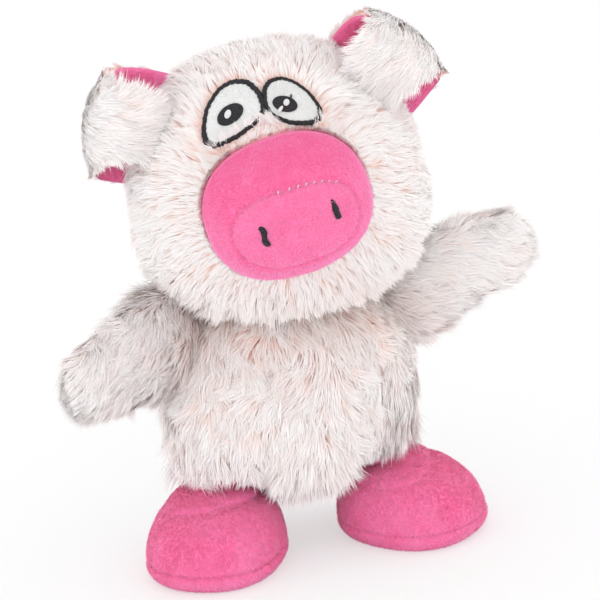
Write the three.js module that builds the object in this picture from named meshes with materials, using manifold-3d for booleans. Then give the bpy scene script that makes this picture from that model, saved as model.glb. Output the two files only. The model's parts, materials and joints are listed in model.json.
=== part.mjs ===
// A stuffed toy pig that stands on two sewn boots: a long-pile head with a domed snout, felt eyes and
// two curled ears, a barrel body of the same pile, two stub arms, and short-pile boots with flat soles.
// Millimetres, +Z up. The face looks along -Y, and left and right are as seen from the front.

import * as THREE from 'three';
import { mergeVertices } from 'three/addons/utils/BufferGeometryUtils.js';
import Module from 'manifold-3d';

// Cloth
const CLOTH_GAP = 0.35; // between pieces that lie face to face
const PILE_WALL = 7; // long-pile cloth, backing and half-pressed pile
const MINKY_WALL = 2.2; // short-pile cloth
const FELT_WALL = 1.2;
const SATIN_STITCH = 0.9; // height of satin-stitched thread

// Body bag
const TORSO_HALF_WIDTH = 56;
const TORSO_HALF_DEPTH = 43;
const TORSO_HEIGHT = 91;
const TORSO_CHEEK = 0.06; // share by which it is wider low down

// Head bag
const HEAD_HALF_WIDTH = 66;
const HEAD_HALF_DEPTH = 60;
const HEAD_RISE = 63; // middle to crown
const HEAD_DROP = 57; // middle to chin
const HEAD_CHEEK = 0.09;
const HEAD_SIDE_SHIFT = 1; // the stuffed head leans off the body's middle
const HEAD_FORWARD_SHIFT = 4;
const HEAD_TURN = -9.5; // degrees about the upright axis
const HEAD_COCK = -6; // degrees about the front axis, right ear up
const HEAD_NOD = -4; // degrees about the side axis, snout up
const NECK_RADIUS = 20; // the stuffed neck, a ball in its seam ring
const NECK_TO_HEAD = 52; // neck pivot to the head's middle
const NECK_SINK = 6; // neck pivot below the body's top
const NOD_RANGE = [-12, 8]; // degrees, back and forward

// Snout
const SNOUT_HALF_WIDTH = 36;
const SNOUT_HALF_HEIGHT = 30;
const SNOUT_ROOT = 48; // where its bag starts, forward of the head's middle
const SNOUT_LENGTH = 46; // from there to the tip
const SNOUT_TAPER = [3, 2.2]; // exponents of the dome, in width and in height
const SNOUT_BAND_SHARE = 0.8; // share of the length that the side band takes
const SNOUT_ROLL = 8; // degrees about its own axis, right side up
const SNOUT_THREAD_WIDTH = 1.2;
const SNOUT_THREAD_SPAN = 26; // half the stitched stretch along the top of the seam
const NOSTRIL_SIDE = 15.5; // from the pair's middle
const NOSTRIL_SHIFT = 2; // the pair sits a little right of the snout's middle
const NOSTRIL_DROP = 1.5;
const NOSTRIL_LENGTH = 8.4;
const NOSTRIL_WIDTH = 2;
const NOSTRIL_SLANT = 8; // degrees, tops to the left

// Eyes
const EYE_LATITUDE = 39.6; // degrees up the brow from the snout's level
const EYE_SHIFT = -1.9; // the pair sits a little left of the middle
const EYE_BORDER_SHARE = 0.86; // inner edge of the stitched border as a share of its outer edge
const EYE_FELT_SHARE = 0.82; // edge of the felt as a share of the same
const LEFT_EYE = [
  [-26.4, -5.5], [-22.6, 7], [-13.3, 16], [-3, 14.5],
  [0.9, 4], [-0.6, -5], [-11, -9.8], [-22.5, -10.8],
];
const RIGHT_EYE = [
  [1.8, 6.5], [5.5, 12.2], [12.5, 12.2], [20, 5.4],
  [24.4, -4.5], [21.5, -10.2], [11, -9.8], [2.3, -3.5],
];
const LEFT_PUPIL = { x: -13.6, y: 0.7, long: 6, short: 4.2, tilt: 21 };
const RIGHT_PUPIL = { x: 9.7, y: -0.2, long: 5.6, short: 3.7, tilt: -25 };
const LEFT_GLINT = { x: -14.6, y: 1.2, long: 2, short: 1.6, tilt: 30 };
const RIGHT_GLINT = { x: 10.3, y: 0.6, long: 1.6, short: 1.5, tilt: 0 };

// Ears
// Degrees above level: where each ear leaves the head, and which way it points
const LEFT_EAR = { side: -1, place: 35, aim: 20 };
const RIGHT_EAR = { side: 1, place: 36, aim: 40 };
const EAR_BACK = 5; // behind the head's middle
const EAR_HALF_LENGTH = 25; // along the fold
const EAR_END_SHARE = 0.9; // length at the root as a share of the fullest
const EAR_TIP_CUT = 0.55; // share by which the free edge is shorter
const EAR_TIP_POWER = 2; // how late along the curl that cut comes
const EAR_STEM = 1.5; // straight stretch before the curl
const EAR_CURL_RADIUS = 15;
const EAR_CURL_TURN = 200; // degrees
const EAR_PILE = 6;
const EAR_ROOT_RADIUS = 4; // the rolled seam at the root
const EAR_ROOT_SHARE = 0.6; // share of the ear's length that is sewn down
const EAR_RANGE = 20; // degrees to each side

// Arms
const ARM_HALF_HEIGHT = 21.5;
const ARM_HALF_THICKNESS = 15;
const ARM_REACH = 69; // shoulder pivot to the tip
const ARM_ROOT = 8; // start of its bag, inward of the pivot
const ARM_CHEEK = 0.16; // share by which it is wider at the root
const ARM_BALL_RADIUS = 19;
const SHOULDER_INSET = 6; // pivot inside the body's widest side
const SHOULDER_DROP = 17; // pivot below the body's top
const LEFT_ARM = { side: -1, forward: 34, lift: -7, range: [-12, 25] };
const RIGHT_ARM = { side: 1, forward: 5, lift: 18, range: [-28, 8] };

// Boots
const HIP_HEIGHT = 48; // sole to hip pivot
const HIP_SPREAD = 38; // pivot to the body's middle
const HIP_FORWARD = 6;
const HIP_SINK = 15; // hip pivot above the body's lowest point
const HIP_BALL_RADIUS = 17;
const HIP_RANGE = 20; // degrees to each side
const ANKLE_RADIUS = 13.5;
const FOOT_HALF_LENGTH = 34;
const FOOT_HALF_WIDTH = 31;
const FOOT_RISE = 36; // where the instep runs out into the shaft
const FOOT_FORWARD = 15; // middle of the foot ahead of the ankle
const FOOT_DOME = [3, 0.85]; // exponents of the instep's curve, over height and over girth
const LEFT_BOOT = { side: -1, splay: 30 }; // degrees, toes out
const RIGHT_BOOT = { side: 1, splay: 40 };
const SOLE_RIM = 8.5; // height of the seam between sole and upper
const SOLE_ROUNDING = 7; // height over which the foot bulges out from its flat sole
const SOLE_BULGE = 0.14; // share that the flat sole is smaller than the foot

// Facets: [around, along] of each bag's outside, of its inside and stuffing, and of the cutters
const BAG_FACETS = [22, 10];
const BAG_INSIDE_FACETS = [14, 7];
const LIMB_FACETS = [14, 8];
const LIMB_INSIDE_FACETS = [10, 5];
const BOOT_FACETS = [16, 12];
const BOOT_INSIDE_FACETS = [14, 12];
const CUTTER_FACETS = [14, 7];
const BALL_FACETS = [12, 6];
const EAR_FACETS = [14, 6];
const OUTLINE_FACETS = 18;
const OVAL_FACETS = 16;
const ROD_FACETS = 16;
const CUTTER_MARGIN = 2.8; // clears the facets of the piece that it stands for
const FAR = 400; // beyond the whole toy
const BOX_SECTION = 2.3; // exponent of the swelling sections, 2 for an ellipse
const BODY_SECTION = 2.9;

const PINK_MINKY = new THREE.MeshStandardMaterial({ color: 0xfa6fa6, roughness: 0.95, metalness: 0 });
const WHITE_PILE = new THREE.MeshStandardMaterial({ color: 0xf7ece9, roughness: 1, metalness: 0 });
const WHITE_FELT = new THREE.MeshStandardMaterial({ color: 0xeef0f0, roughness: 0.9, metalness: 0 });
const BLACK_SATIN = new THREE.MeshStandardMaterial({ color: 0x141316, roughness: 0.55, metalness: 0 });
const WHITE_THREAD = new THREE.MeshStandardMaterial({ color: 0xfbeef2, roughness: 0.6, metalness: 0 });
const FIBRE = new THREE.MeshStandardMaterial({ color: 0xf4f3ef, roughness: 1, metalness: 0 });

const wasm = await Module();
wasm.setup();

const radians = THREE.MathUtils.degToRad;
const X_AXIS = new THREE.Vector3(1, 0, 0);
const Z_AXIS = new THREE.Vector3(0, 0, 1);

// Solids

// Turns a closed geometry into a solid that can be joined and cut
function solidFrom(geometry) {
  const bare = geometry.clone();
  bare.deleteAttribute('normal');
  bare.deleteAttribute('uv');
  const merged = mergeVertices(bare, 1e-4);
  const vertProperties = Float32Array.from(merged.attributes.position.array);
  const triVerts = Uint32Array.from(merged.index.array);
  return new wasm.Manifold(new wasm.Mesh({ numProp: 3, vertProperties, triVerts }));
}

function cut(solid, ...tools) {
  return tools.reduce((left, tool) => left.subtract(tool), solid);
}

function mesh(name, solid, finish) {
  const { vertProperties, triVerts } = solid.getMesh();
  const geometry = new THREE.BufferGeometry();
  geometry.setAttribute('position', new THREE.BufferAttribute(vertProperties, 3));
  geometry.setIndex(new THREE.BufferAttribute(triVerts, 1));
  geometry.computeVertexNormals();
  const piece = new THREE.Mesh(geometry, finish);
  piece.name = name;
  return piece;
}

// One superellipse section at a height, counter-clockwise about +Z
function section(halfX, halfY, height, exponent, count, middleY = 0) {
  const power = 2 / exponent;
  return Array.from({ length: count }, (_, i) => {
    const angle = (i / count) * 2 * Math.PI;
    const [c, s] = [Math.cos(angle), Math.sin(angle)];
    const x = Math.sign(c) * Math.abs(c) ** power * halfX;
    const y = Math.sign(s) * Math.abs(s) ** power * halfY;
    return new THREE.Vector3(x, middleY + y, height);
  });
}

// Closes a stack of rings with a point at each end
function stackGeometry(rings, bottom, top) {
  const count = rings[0].length;
  const points = [bottom, ...rings.flat(), top];
  const at = (ring, i) => 1 + ring * count + (i % count);
  const index = [];
  for (let i = 0; i < count; i++) {
    index.push(0, at(0, i + 1), at(0, i));
    index.push(points.length - 1, at(rings.length - 1, i), at(rings.length - 1, i + 1));
    for (let ring = 0; ring + 1 < rings.length; ring++) {
      index.push(at(ring, i), at(ring, i + 1), at(ring + 1, i + 1));
      index.push(at(ring, i), at(ring + 1, i + 1), at(ring + 1, i));
    }
  }
  const geometry = new THREE.BufferGeometry().setFromPoints(points);
  geometry.setIndex(index);
  return geometry;
}

// A stuffed bag: superellipse sections round +Z, with its own rise and drop, wider low down by its cheek
function bagGeometry(bag, inset = 0, facets = BAG_FACETS) {
  const [around, along] = facets;
  const power = 2 / bag.box;
  const rings = [];
  for (let i = 1; i < along; i++) {
    const latitude = (i / along - 0.5) * Math.PI;
    const level = Math.sign(latitude) * Math.abs(Math.sin(latitude)) ** power;
    const swell = Math.cos(latitude) ** power * (1 - bag.cheek * level);
    const height = level * ((level > 0 ? bag.rise : bag.drop) - inset);
    rings.push(section((bag.halfX - inset) * swell, (bag.halfY - inset) * swell, height, 2, around));
  }
  const bottom = new THREE.Vector3(0, 0, inset - bag.drop);
  const top = new THREE.Vector3(0, 0, bag.rise - inset);
  return stackGeometry(rings, bottom, top);
}

// The outside of a bag has more facets than its inside, its stuffing and the cutters made from it
function bagSolid(bag, inset, place = new THREE.Matrix4()) {
  const facets = inset > 0 ? BAG_INSIDE_FACETS : BAG_FACETS;
  return solidFrom(bagGeometry(bag, inset, facets).applyMatrix4(place));
}

function ballAt(centre, radius) {
  const [around, along] = BALL_FACETS;
  const ball = new THREE.SphereGeometry(radius, around, along);
  return solidFrom(ball.translate(centre.x, centre.y, centre.z));
}

// The room that a faceted ball needs to turn in
function socketAt(centre, radius) {
  return ballAt(centre, (radius + CLOTH_GAP) / Math.cos(Math.PI / BALL_FACETS[0]) ** 2);
}

// A limb's cover is open here, at the inner side of its ball
function mouthGeometry(ballRadius) {
  return new THREE.CylinderGeometry(ballRadius / 2, ballRadius / 2, ballRadius, LIMB_FACETS[0]);
}

// Everything beyond a plane, as a large block on the side that the normal points to
function halfSpace(point, normal) {
  const block = new THREE.BoxGeometry(FAR, FAR, FAR).translate(0, 0, FAR / 2);
  const turn = new THREE.Quaternion().setFromUnitVectors(Z_AXIS, normal.clone().normalize());
  return solidFrom(block.applyQuaternion(turn).translate(point.x, point.y, point.z));
}

// A turn about an axis through a pivot, as one matrix
function turnAbout(pivot, axis, degrees) {
  const there = new THREE.Matrix4().makeTranslation(pivot);
  const turn = new THREE.Matrix4().makeRotationAxis(axis, radians(degrees));
  const back = new THREE.Matrix4().makeTranslation(pivot.clone().negate());
  return there.multiply(turn).multiply(back);
}

// Coarse, slightly larger copies of a bag at each of its places, which leave a joint room to move
function roomFor(bag, places, extra = 0) {
  return places.map((place) => {
    const copy = bagGeometry(bag, -CUTTER_MARGIN - extra, CUTTER_FACETS);
    return solidFrom(copy.applyMatrix4(place));
  });
}

// The places that another bag takes, seen from a limb that swings about its pivot by each of the angles
function placesFrom(limbMatrix, pivot, axis, angles, place) {
  const toLimb = limbMatrix.clone().invert();
  return angles.map((degrees) => toLimb.clone().multiply(turnAbout(pivot, axis, degrees)).multiply(place));
}

function headPlaces() {
  return steps(...NOD_RANGE, 3).map((degrees) => turnAbout(neckPivot, X_AXIS, degrees).multiply(headPlace));
}

function steps(low, high, count) {
  return Array.from({ length: count }, (_, i) => low + ((high - low) * i) / (count - 1));
}

// Frames of the body, the head and the limbs

const torsoBottom = HIP_HEIGHT - HIP_SINK;
const torsoTop = torsoBottom + TORSO_HEIGHT;
const TORSO = {
  halfX: TORSO_HALF_WIDTH,
  halfY: TORSO_HALF_DEPTH,
  rise: TORSO_HEIGHT / 2,
  drop: TORSO_HEIGHT / 2,
  cheek: TORSO_CHEEK,
  box: BODY_SECTION,
};
const HEAD = {
  halfX: HEAD_HALF_WIDTH,
  halfY: HEAD_HALF_DEPTH,
  rise: HEAD_RISE,
  drop: HEAD_DROP,
  cheek: HEAD_CHEEK,
  box: BOX_SECTION,
};
const torsoPlace = new THREE.Matrix4().makeTranslation(0, 0, torsoBottom + TORSO_HEIGHT / 2);
const neckPivot = new THREE.Vector3(HEAD_SIDE_SHIFT, 0, torsoTop - NECK_SINK);
const headTurn = new THREE.Euler(radians(HEAD_NOD), radians(HEAD_COCK), radians(HEAD_TURN), 'ZYX');
const headMiddle = neckPivot.clone().add(new THREE.Vector3(0, -HEAD_FORWARD_SHIFT, NECK_TO_HEAD));
const headPlace = new THREE.Matrix4().compose(
  headMiddle,
  new THREE.Quaternion().setFromEuler(headTurn),
  new THREE.Vector3(1, 1, 1),
);
const neckInHead = neckPivot.clone().applyMatrix4(headPlace.clone().invert());

function armPlace(arm) {
  const outward = arm.side * (TORSO_HALF_WIDTH - SHOULDER_INSET);
  const pivot = new THREE.Vector3(outward, 0, torsoTop - SHOULDER_DROP);
  const heading = arm.side > 0 ? -radians(arm.forward) : Math.PI + radians(arm.forward);
  const turn = new THREE.Euler(0, -radians(arm.lift), heading, 'ZYX');
  const axis = new THREE.Vector3(0, -1, 0).applyAxisAngle(Z_AXIS, heading);
  return { pivot, turn, axis };
}

function hipPivot(side) {
  return new THREE.Vector3(side * HIP_SPREAD, -HIP_FORWARD, HIP_HEIGHT);
}

// Snout, in the head's frame

// Sections shrink towards the tip as superellipses, faster in height than in width
function snoutGeometry(inset) {
  const facets = inset > 0 ? BAG_INSIDE_FACETS : BAG_FACETS;
  const [widthPower, heightPower] = SNOUT_TAPER;
  const rings = [];
  const count = facets[1] / 2 + 2;
  for (let i = 0; i < count; i++) {
    const share = Math.sin(((i / count) * Math.PI) / 2);
    const width = (SNOUT_HALF_WIDTH - inset) * (1 - share ** widthPower) ** (1 / widthPower);
    const height = (SNOUT_HALF_HEIGHT - inset) * (1 - share ** heightPower) ** (1 / heightPower);
    rings.push(section(width, height, share * (SNOUT_LENGTH - inset), BOX_SECTION, facets[0]));
  }
  const root = new THREE.Vector3(0, 0, 0);
  const tip = new THREE.Vector3(0, 0, SNOUT_LENGTH - inset);
  return stackGeometry(rings, root, tip).applyMatrix4(snoutPlace());
}

// The snout's own axis, drawn along +Z, lies along the head's -Y and is rolled a little
function snoutPlace() {
  const forward = new THREE.Matrix4().makeRotationX(Math.PI / 2);
  const roll = new THREE.Matrix4().makeRotationY(-radians(SNOUT_ROLL));
  const shift = new THREE.Matrix4().makeTranslation(0, -SNOUT_ROOT, 0);
  return shift.multiply(roll).multiply(forward);
}

function makeSnout(head) {
  const forward = new THREE.Vector3(0, -1, 0);
  const seam = new THREE.Vector3(0, -(SNOUT_ROOT + SNOUT_LENGTH * SNOUT_BAND_SHARE), 0);
  const halfGap = forward.clone().multiplyScalar(CLOTH_GAP / 2);
  const ahead = halfSpace(seam.clone().add(halfGap), forward);
  const behind = halfSpace(seam.clone().sub(halfGap), forward.clone().negate());
  const headInside = bagSolid(HEAD, PILE_WALL);
  const shell = cut(solidFrom(snoutGeometry(0)), solidFrom(snoutGeometry(MINKY_WALL)), headInside);
  head.add(mesh('snout_band', shell.intersect(behind), PINK_MINKY));
  head.add(mesh('snout_front', shell.intersect(ahead), PINK_MINKY));
  const stuffing = cut(solidFrom(snoutGeometry(MINKY_WALL + CLOTH_GAP)), headInside);
  head.add(mesh('snout_fill', stuffing, FIBRE));

  const threadTop = solidFrom(snoutGeometry(-CLOTH_GAP - SATIN_STITCH));
  const thread = cut(threadTop, solidFrom(snoutGeometry(-CLOTH_GAP)));
  const strip = new THREE.BoxGeometry(2 * SNOUT_THREAD_SPAN, SNOUT_THREAD_WIDTH, SNOUT_HALF_HEIGHT);
  strip.translate(0, -SNOUT_THREAD_WIDTH, (3 / 4) * SNOUT_HALF_HEIGHT);
  strip.rotateY(-radians(SNOUT_ROLL));
  strip.translate(seam.x, seam.y, seam.z);
  head.add(mesh('snout_seam_thread', thread.intersect(solidFrom(strip)), WHITE_THREAD));

  for (const [name, side] of [['nostril_left', -1], ['nostril_right', 1]]) {
    const bar = new THREE.BoxGeometry(NOSTRIL_WIDTH, SNOUT_LENGTH, NOSTRIL_LENGTH);
    bar.rotateY(-radians(NOSTRIL_SLANT));
    bar.translate(NOSTRIL_SHIFT + side * NOSTRIL_SIDE, 0, -NOSTRIL_DROP);
    bar.rotateY(-radians(SNOUT_ROLL));
    bar.translate(0, seam.y - SNOUT_LENGTH / 4, 0);
    head.add(mesh(name, thread.intersect(solidFrom(bar)), BLACK_SATIN));
  }
}

// Eyes, in the head's frame

// A closed smooth outline through points on the brow plane, scaled about its middle
function outlineShape(points, share = 1) {
  const middle = new THREE.Vector3();
  const corners = points.map(([x, y]) => new THREE.Vector3(x, y, 0));
  corners.forEach((corner) => middle.add(corner));
  middle.divideScalar(corners.length);
  const scaled = corners.map((corner) => corner.clone().sub(middle).multiplyScalar(share).add(middle));
  const curve = new THREE.CatmullRomCurve3(scaled, true, 'centripetal');
  const loop = curve.getPoints(OUTLINE_FACETS).slice(0, -1);
  return new THREE.Shape(loop.map((p) => new THREE.Vector2(p.x, p.y)));
}

function ovalShape(oval) {
  const { x, y, long, short, tilt } = oval;
  const curve = new THREE.EllipseCurve(x, y, long, short, 0, 2 * Math.PI, false, radians(tilt));
  return new THREE.Shape(curve.getPoints(OVAL_FACETS).slice(0, -1));
}

// A prism that stands on the brow, square to it, and cuts shapes out of cloth layers
function browPrism(shape) {
  const latitude = radians(EYE_LATITUDE);
  const [level, height] = [-Math.cos(latitude), Math.sin(latitude)];
  const normal = new THREE.Vector3(0, level / HEAD_HALF_DEPTH, height / HEAD_RISE).normalize();
  const up = normal.clone().cross(X_AXIS);
  const depth = HEAD_HALF_DEPTH / 2;
  const place = new THREE.Matrix4().makeBasis(X_AXIS, up, normal);
  place.setPosition(EYE_SHIFT, HEAD_HALF_DEPTH * level, HEAD_RISE * height);
  const prism = new THREE.ExtrudeGeometry(shape, { depth, bevelEnabled: false, steps: 1 });
  return solidFrom(prism.translate(0, 0, -depth / 2).applyMatrix4(place));
}

// A layer of cloth or thread that follows the head, from one height above it to another
function headLayer(low, high) {
  return cut(bagSolid(HEAD, -high), bagSolid(HEAD, -low));
}

function makeEye(head, side, outline, pupil, glint) {
  const snout = solidFrom(snoutGeometry(-CLOTH_GAP));
  const felt = cut(headLayer(CLOTH_GAP, CLOTH_GAP + FELT_WALL), snout);
  const border = cut(headLayer(CLOTH_GAP, CLOTH_GAP + FELT_WALL + SATIN_STITCH), snout);
  const pupilLow = 2 * CLOTH_GAP + FELT_WALL;
  const pupilHigh = pupilLow + SATIN_STITCH;
  const patch = felt.intersect(browPrism(outlineShape(outline, EYE_FELT_SHARE)));
  const window = browPrism(outlineShape(outline, EYE_BORDER_SHARE));
  const ring = cut(border.intersect(browPrism(outlineShape(outline))), window);
  head.add(mesh(`eye_patch_${side}`, patch, WHITE_FELT));
  head.add(mesh(`eye_outline_${side}`, ring, BLACK_SATIN));
  const oval = headLayer(pupilLow, pupilHigh).intersect(browPrism(ovalShape(pupil)));
  head.add(mesh(`pupil_${side}`, oval, BLACK_SATIN));
  const dot = headLayer(pupilHigh + CLOTH_GAP, pupilHigh + CLOTH_GAP + SATIN_STITCH);
  head.add(mesh(`glint_${side}`, dot.intersect(browPrism(ovalShape(glint))), WHITE_THREAD));
}

// Ears, in the head's frame

function earFrame({ side, place, aim }) {
  const [angle, seat] = [radians(aim), radians(place)];
  const out = new THREE.Vector3(side * Math.cos(angle), 0, Math.sin(angle));
  const fold = new THREE.Vector3(side * Math.sin(angle), 0, -Math.cos(angle));
  const reach = 1 / Math.hypot(Math.cos(seat) / HEAD_HALF_WIDTH, Math.sin(seat) / HEAD_RISE);
  const root = new THREE.Vector3(side * reach * Math.cos(seat), EAR_BACK, reach * Math.sin(seat));
  return { out, fold, root, front: new THREE.Vector3(0, -1, 0) };
}

// A curled sheet between two offsets from its middle surface: straight along the stem, then round
function earSheet(frame, low, high) {
  const [alongCount, acrossCount] = EAR_FACETS;
  const turn = radians(EAR_CURL_TURN);
  const length = EAR_STEM + EAR_CURL_RADIUS * turn;
  const point = (i, j, offset) => {
    const share = i / alongCount;
    const run = share * length;
    const angle = Math.max(0, run - EAR_STEM) / EAR_CURL_RADIUS;
    const out = Math.min(run, EAR_STEM) + (EAR_CURL_RADIUS + offset) * Math.sin(angle);
    const front = EAR_CURL_RADIUS - (EAR_CURL_RADIUS + offset) * Math.cos(angle);
    const swell = EAR_END_SHARE + (1 - EAR_END_SHARE) * Math.sin(Math.PI * share);
    const half = EAR_HALF_LENGTH * swell * (1 - EAR_TIP_CUT * share ** EAR_TIP_POWER);
    const across = (j / acrossCount) * 2 - 1;
    return frame.root.clone()
      .addScaledVector(frame.out, out)
      .addScaledVector(frame.front, front)
      .addScaledVector(frame.fold, across * half);
  };
  // Each ring runs across on the low side and back on the high side
  const rings = [];
  for (let i = 0; i <= alongCount; i++) {
    const ring = [];
    for (let j = 0; j <= acrossCount; j++) {
      ring.push(point(i, j, low));
    }
    for (let j = acrossCount; j >= 0; j--) {
      ring.push(point(i, j, high));
    }
    rings.push(ring);
  }
  const geometry = stackGeometry(rings, middleOf(rings[0]), middleOf(rings[alongCount]));
  if (frame.out.x < 0) {
    return solidFrom(flipped(geometry));
  }
  return solidFrom(geometry);
}

function middleOf(points) {
  return points.reduce((sum, p) => sum.add(p), new THREE.Vector3()).divideScalar(points.length);
}

// Turns every face of a mirrored geometry the other way out
function flipped(geometry) {
  const index = Array.from(geometry.index.array);
  for (let i = 0; i < index.length; i += 3) {
    [index[i + 1], index[i + 2]] = [index[i + 2], index[i + 1]];
  }
  geometry.setIndex(index);
  return geometry;
}

function earRoot(frame, radius, halfLength) {
  const rod = new THREE.CylinderGeometry(radius, radius, 2 * halfLength, ROD_FACETS);
  const turn = new THREE.Quaternion().setFromUnitVectors(new THREE.Vector3(0, 1, 0), frame.fold);
  return solidFrom(rod.applyQuaternion(turn).translate(frame.root.x, frame.root.y, frame.root.z));
}

function makeEar(head, name, ear) {
  const frame = earFrame(ear);
  const halfRoot = EAR_HALF_LENGTH * EAR_ROOT_SHARE;
  const angles = steps(-EAR_RANGE, EAR_RANGE, 3);
  const room = roomFor(HEAD, angles.map((degrees) => turnAbout(frame.root, frame.fold, degrees)));
  const root = earRoot(frame, EAR_ROOT_RADIUS, halfRoot);
  const fur = cut(earSheet(frame, CLOTH_GAP / 2, EAR_PILE), ...room).add(root);
  const seat = earRoot(frame, EAR_ROOT_RADIUS + CLOTH_GAP, halfRoot + CLOTH_GAP);
  const lining = cut(earSheet(frame, -MINKY_WALL, -CLOTH_GAP / 2), ...room, seat);
  head.add(mesh(`${name}_fur`, fur, WHITE_PILE));
  head.add(mesh(`${name}_lining`, lining, PINK_MINKY));
}

// Head

function makeHead() {
  const head = new THREE.Group();
  head.position.copy(headMiddle);
  head.rotation.copy(headTurn);
  const neckHole = ballAt(neckInHead, NECK_RADIUS + CLOTH_GAP);
  const snoutHole = solidFrom(snoutGeometry(-CLOTH_GAP));
  const grooves = [LEFT_EAR, RIGHT_EAR].map((ear) =>
    earRoot(earFrame(ear), EAR_ROOT_RADIUS + CLOTH_GAP, EAR_HALF_LENGTH * EAR_ROOT_SHARE + CLOTH_GAP));
  const shell = cut(bagSolid(HEAD, 0), bagSolid(HEAD, PILE_WALL));
  head.add(mesh('head_cover', cut(shell, neckHole, snoutHole, ...grooves), WHITE_PILE));
  const stuffing = bagSolid(HEAD, PILE_WALL + CLOTH_GAP);
  head.add(mesh('head_fill', stuffing.add(ballAt(neckInHead, NECK_RADIUS)), FIBRE));
  makeSnout(head);
  makeEye(head, 'left', LEFT_EYE, LEFT_PUPIL, LEFT_GLINT);
  makeEye(head, 'right', RIGHT_EYE, RIGHT_PUPIL, RIGHT_GLINT);
  makeEar(head, 'ear_left', LEFT_EAR);
  makeEar(head, 'ear_right', RIGHT_EAR);
  return head;
}

// Torso, in the toy's frame

function makeTorso() {
  const room = roomFor(HEAD, headPlaces());
  const sockets = [socketAt(neckPivot, NECK_RADIUS)];
  for (const arm of [LEFT_ARM, RIGHT_ARM]) {
    sockets.push(socketAt(armPlace(arm).pivot, ARM_BALL_RADIUS));
    sockets.push(socketAt(hipPivot(arm.side), HIP_BALL_RADIUS));
  }
  const torso = new THREE.Group();
  const shell = cut(bagSolid(TORSO, 0, torsoPlace), bagSolid(TORSO, PILE_WALL, torsoPlace));
  torso.add(mesh('torso_cover', cut(shell, ...sockets, ...room), WHITE_PILE));
  const stuffing = bagSolid(TORSO, PILE_WALL + CLOTH_GAP, torsoPlace);
  torso.add(mesh('torso_fill', cut(stuffing, ...sockets, ...room), FIBRE));
  return torso;
}

// Arms, each in its own frame: the pivot at the origin and the tip along +X

function makeArm(name, arm) {
  const { pivot, turn, axis } = armPlace(arm);
  const group = new THREE.Group();
  group.position.copy(pivot);
  group.rotation.copy(turn);
  group.updateMatrix();
  const half = (ARM_REACH + ARM_ROOT) / 2;
  const bag = {
    halfX: ARM_HALF_HEIGHT,
    halfY: ARM_HALF_THICKNESS,
    rise: half,
    drop: half,
    cheek: ARM_CHEEK,
    box: BODY_SECTION,
  };
  const angles = steps(-arm.range[1], -arm.range[0], 3);
  const limb = (inset) => {
    const facets = inset > 0 ? LIMB_INSIDE_FACETS : LIMB_FACETS;
    const sleeve = bagGeometry(bag, inset, facets).rotateY(Math.PI / 2).translate(half - ARM_ROOT, 0, 0);
    const ball = ballAt(new THREE.Vector3(), ARM_BALL_RADIUS - inset);
    const room = roomFor(TORSO, placesFrom(group.matrix, pivot, axis, angles, torsoPlace), inset);
    const headRoom = headPlaces().flatMap((place) =>
      roomFor(HEAD, placesFrom(group.matrix, pivot, axis, angles, place), inset));
    return cut(cut(solidFrom(sleeve), ...room).add(ball), ...headRoom);
  };
  const mouth = mouthGeometry(ARM_BALL_RADIUS).rotateZ(Math.PI / 2).translate(-ARM_BALL_RADIUS, 0, 0);
  group.add(mesh(`${name}_cover`, cut(limb(0), limb(PILE_WALL), solidFrom(mouth)), WHITE_PILE));
  group.add(mesh(`${name}_fill`, limb(PILE_WALL + CLOTH_GAP), FIBRE));
  return group;
}

// Boots, each in its own frame: the hip pivot at the origin and the toe along -Y

// Sections from the flat sole up: the foot's dome dies out into the round shaft
function bootGeometry(inset) {
  const [around, count] = inset > 0 ? BOOT_INSIDE_FACETS : BOOT_FACETS;
  const [heightPower, girthPower] = FOOT_DOME;
  const rings = [];
  for (let i = 0; i <= count; i++) {
    const height = inset + ((HIP_HEIGHT - inset) * i) / count;
    const dome = Math.max(0, 1 - (height / FOOT_RISE) ** heightPower) ** girthPower;
    const low = Math.max(0, 1 - height / SOLE_ROUNDING);
    const tuck = 1 - SOLE_BULGE * low * low;
    const length = (ANKLE_RADIUS + (FOOT_HALF_LENGTH - ANKLE_RADIUS) * dome) * tuck - inset;
    const width = (ANKLE_RADIUS + (FOOT_HALF_WIDTH - ANKLE_RADIUS) * dome) * tuck - inset;
    rings.push(section(width, length, height - HIP_HEIGHT, BOX_SECTION, around, -FOOT_FORWARD * dome));
  }
  const bottom = new THREE.Vector3(0, -FOOT_FORWARD, inset - HIP_HEIGHT);
  return stackGeometry(rings, bottom, new THREE.Vector3(0, 0, 0));
}

function makeBoot(name, { side, splay }) {
  const pivot = hipPivot(side);
  const group = new THREE.Group();
  group.position.copy(pivot);
  group.rotation.z = side * radians(splay);
  group.updateMatrix();
  const angles = steps(-HIP_RANGE, HIP_RANGE, 3);
  const boot = (inset) => {
    const room = roomFor(TORSO, placesFrom(group.matrix, pivot, X_AXIS, angles, torsoPlace), inset);
    const ball = ballAt(new THREE.Vector3(), HIP_BALL_RADIUS - inset);
    return cut(solidFrom(bootGeometry(inset)), ...room).add(ball);
  };
  const seam = SOLE_RIM - HIP_HEIGHT;
  const above = halfSpace(new THREE.Vector3(0, 0, seam + CLOTH_GAP / 2), Z_AXIS);
  const below = halfSpace(new THREE.Vector3(0, 0, seam - CLOTH_GAP / 2), Z_AXIS.clone().negate());
  const mouth = mouthGeometry(HIP_BALL_RADIUS).rotateX(Math.PI / 2).translate(0, 0, HIP_BALL_RADIUS);
  const shell = cut(boot(0), boot(MINKY_WALL), solidFrom(mouth));
  group.add(mesh(`${name}_upper`, shell.intersect(above), PINK_MINKY));
  group.add(mesh(`${name}_sole`, shell.intersect(below), PINK_MINKY));
  group.add(mesh(`${name}_fill`, boot(MINKY_WALL + CLOTH_GAP), FIBRE));
  return group;
}

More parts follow.
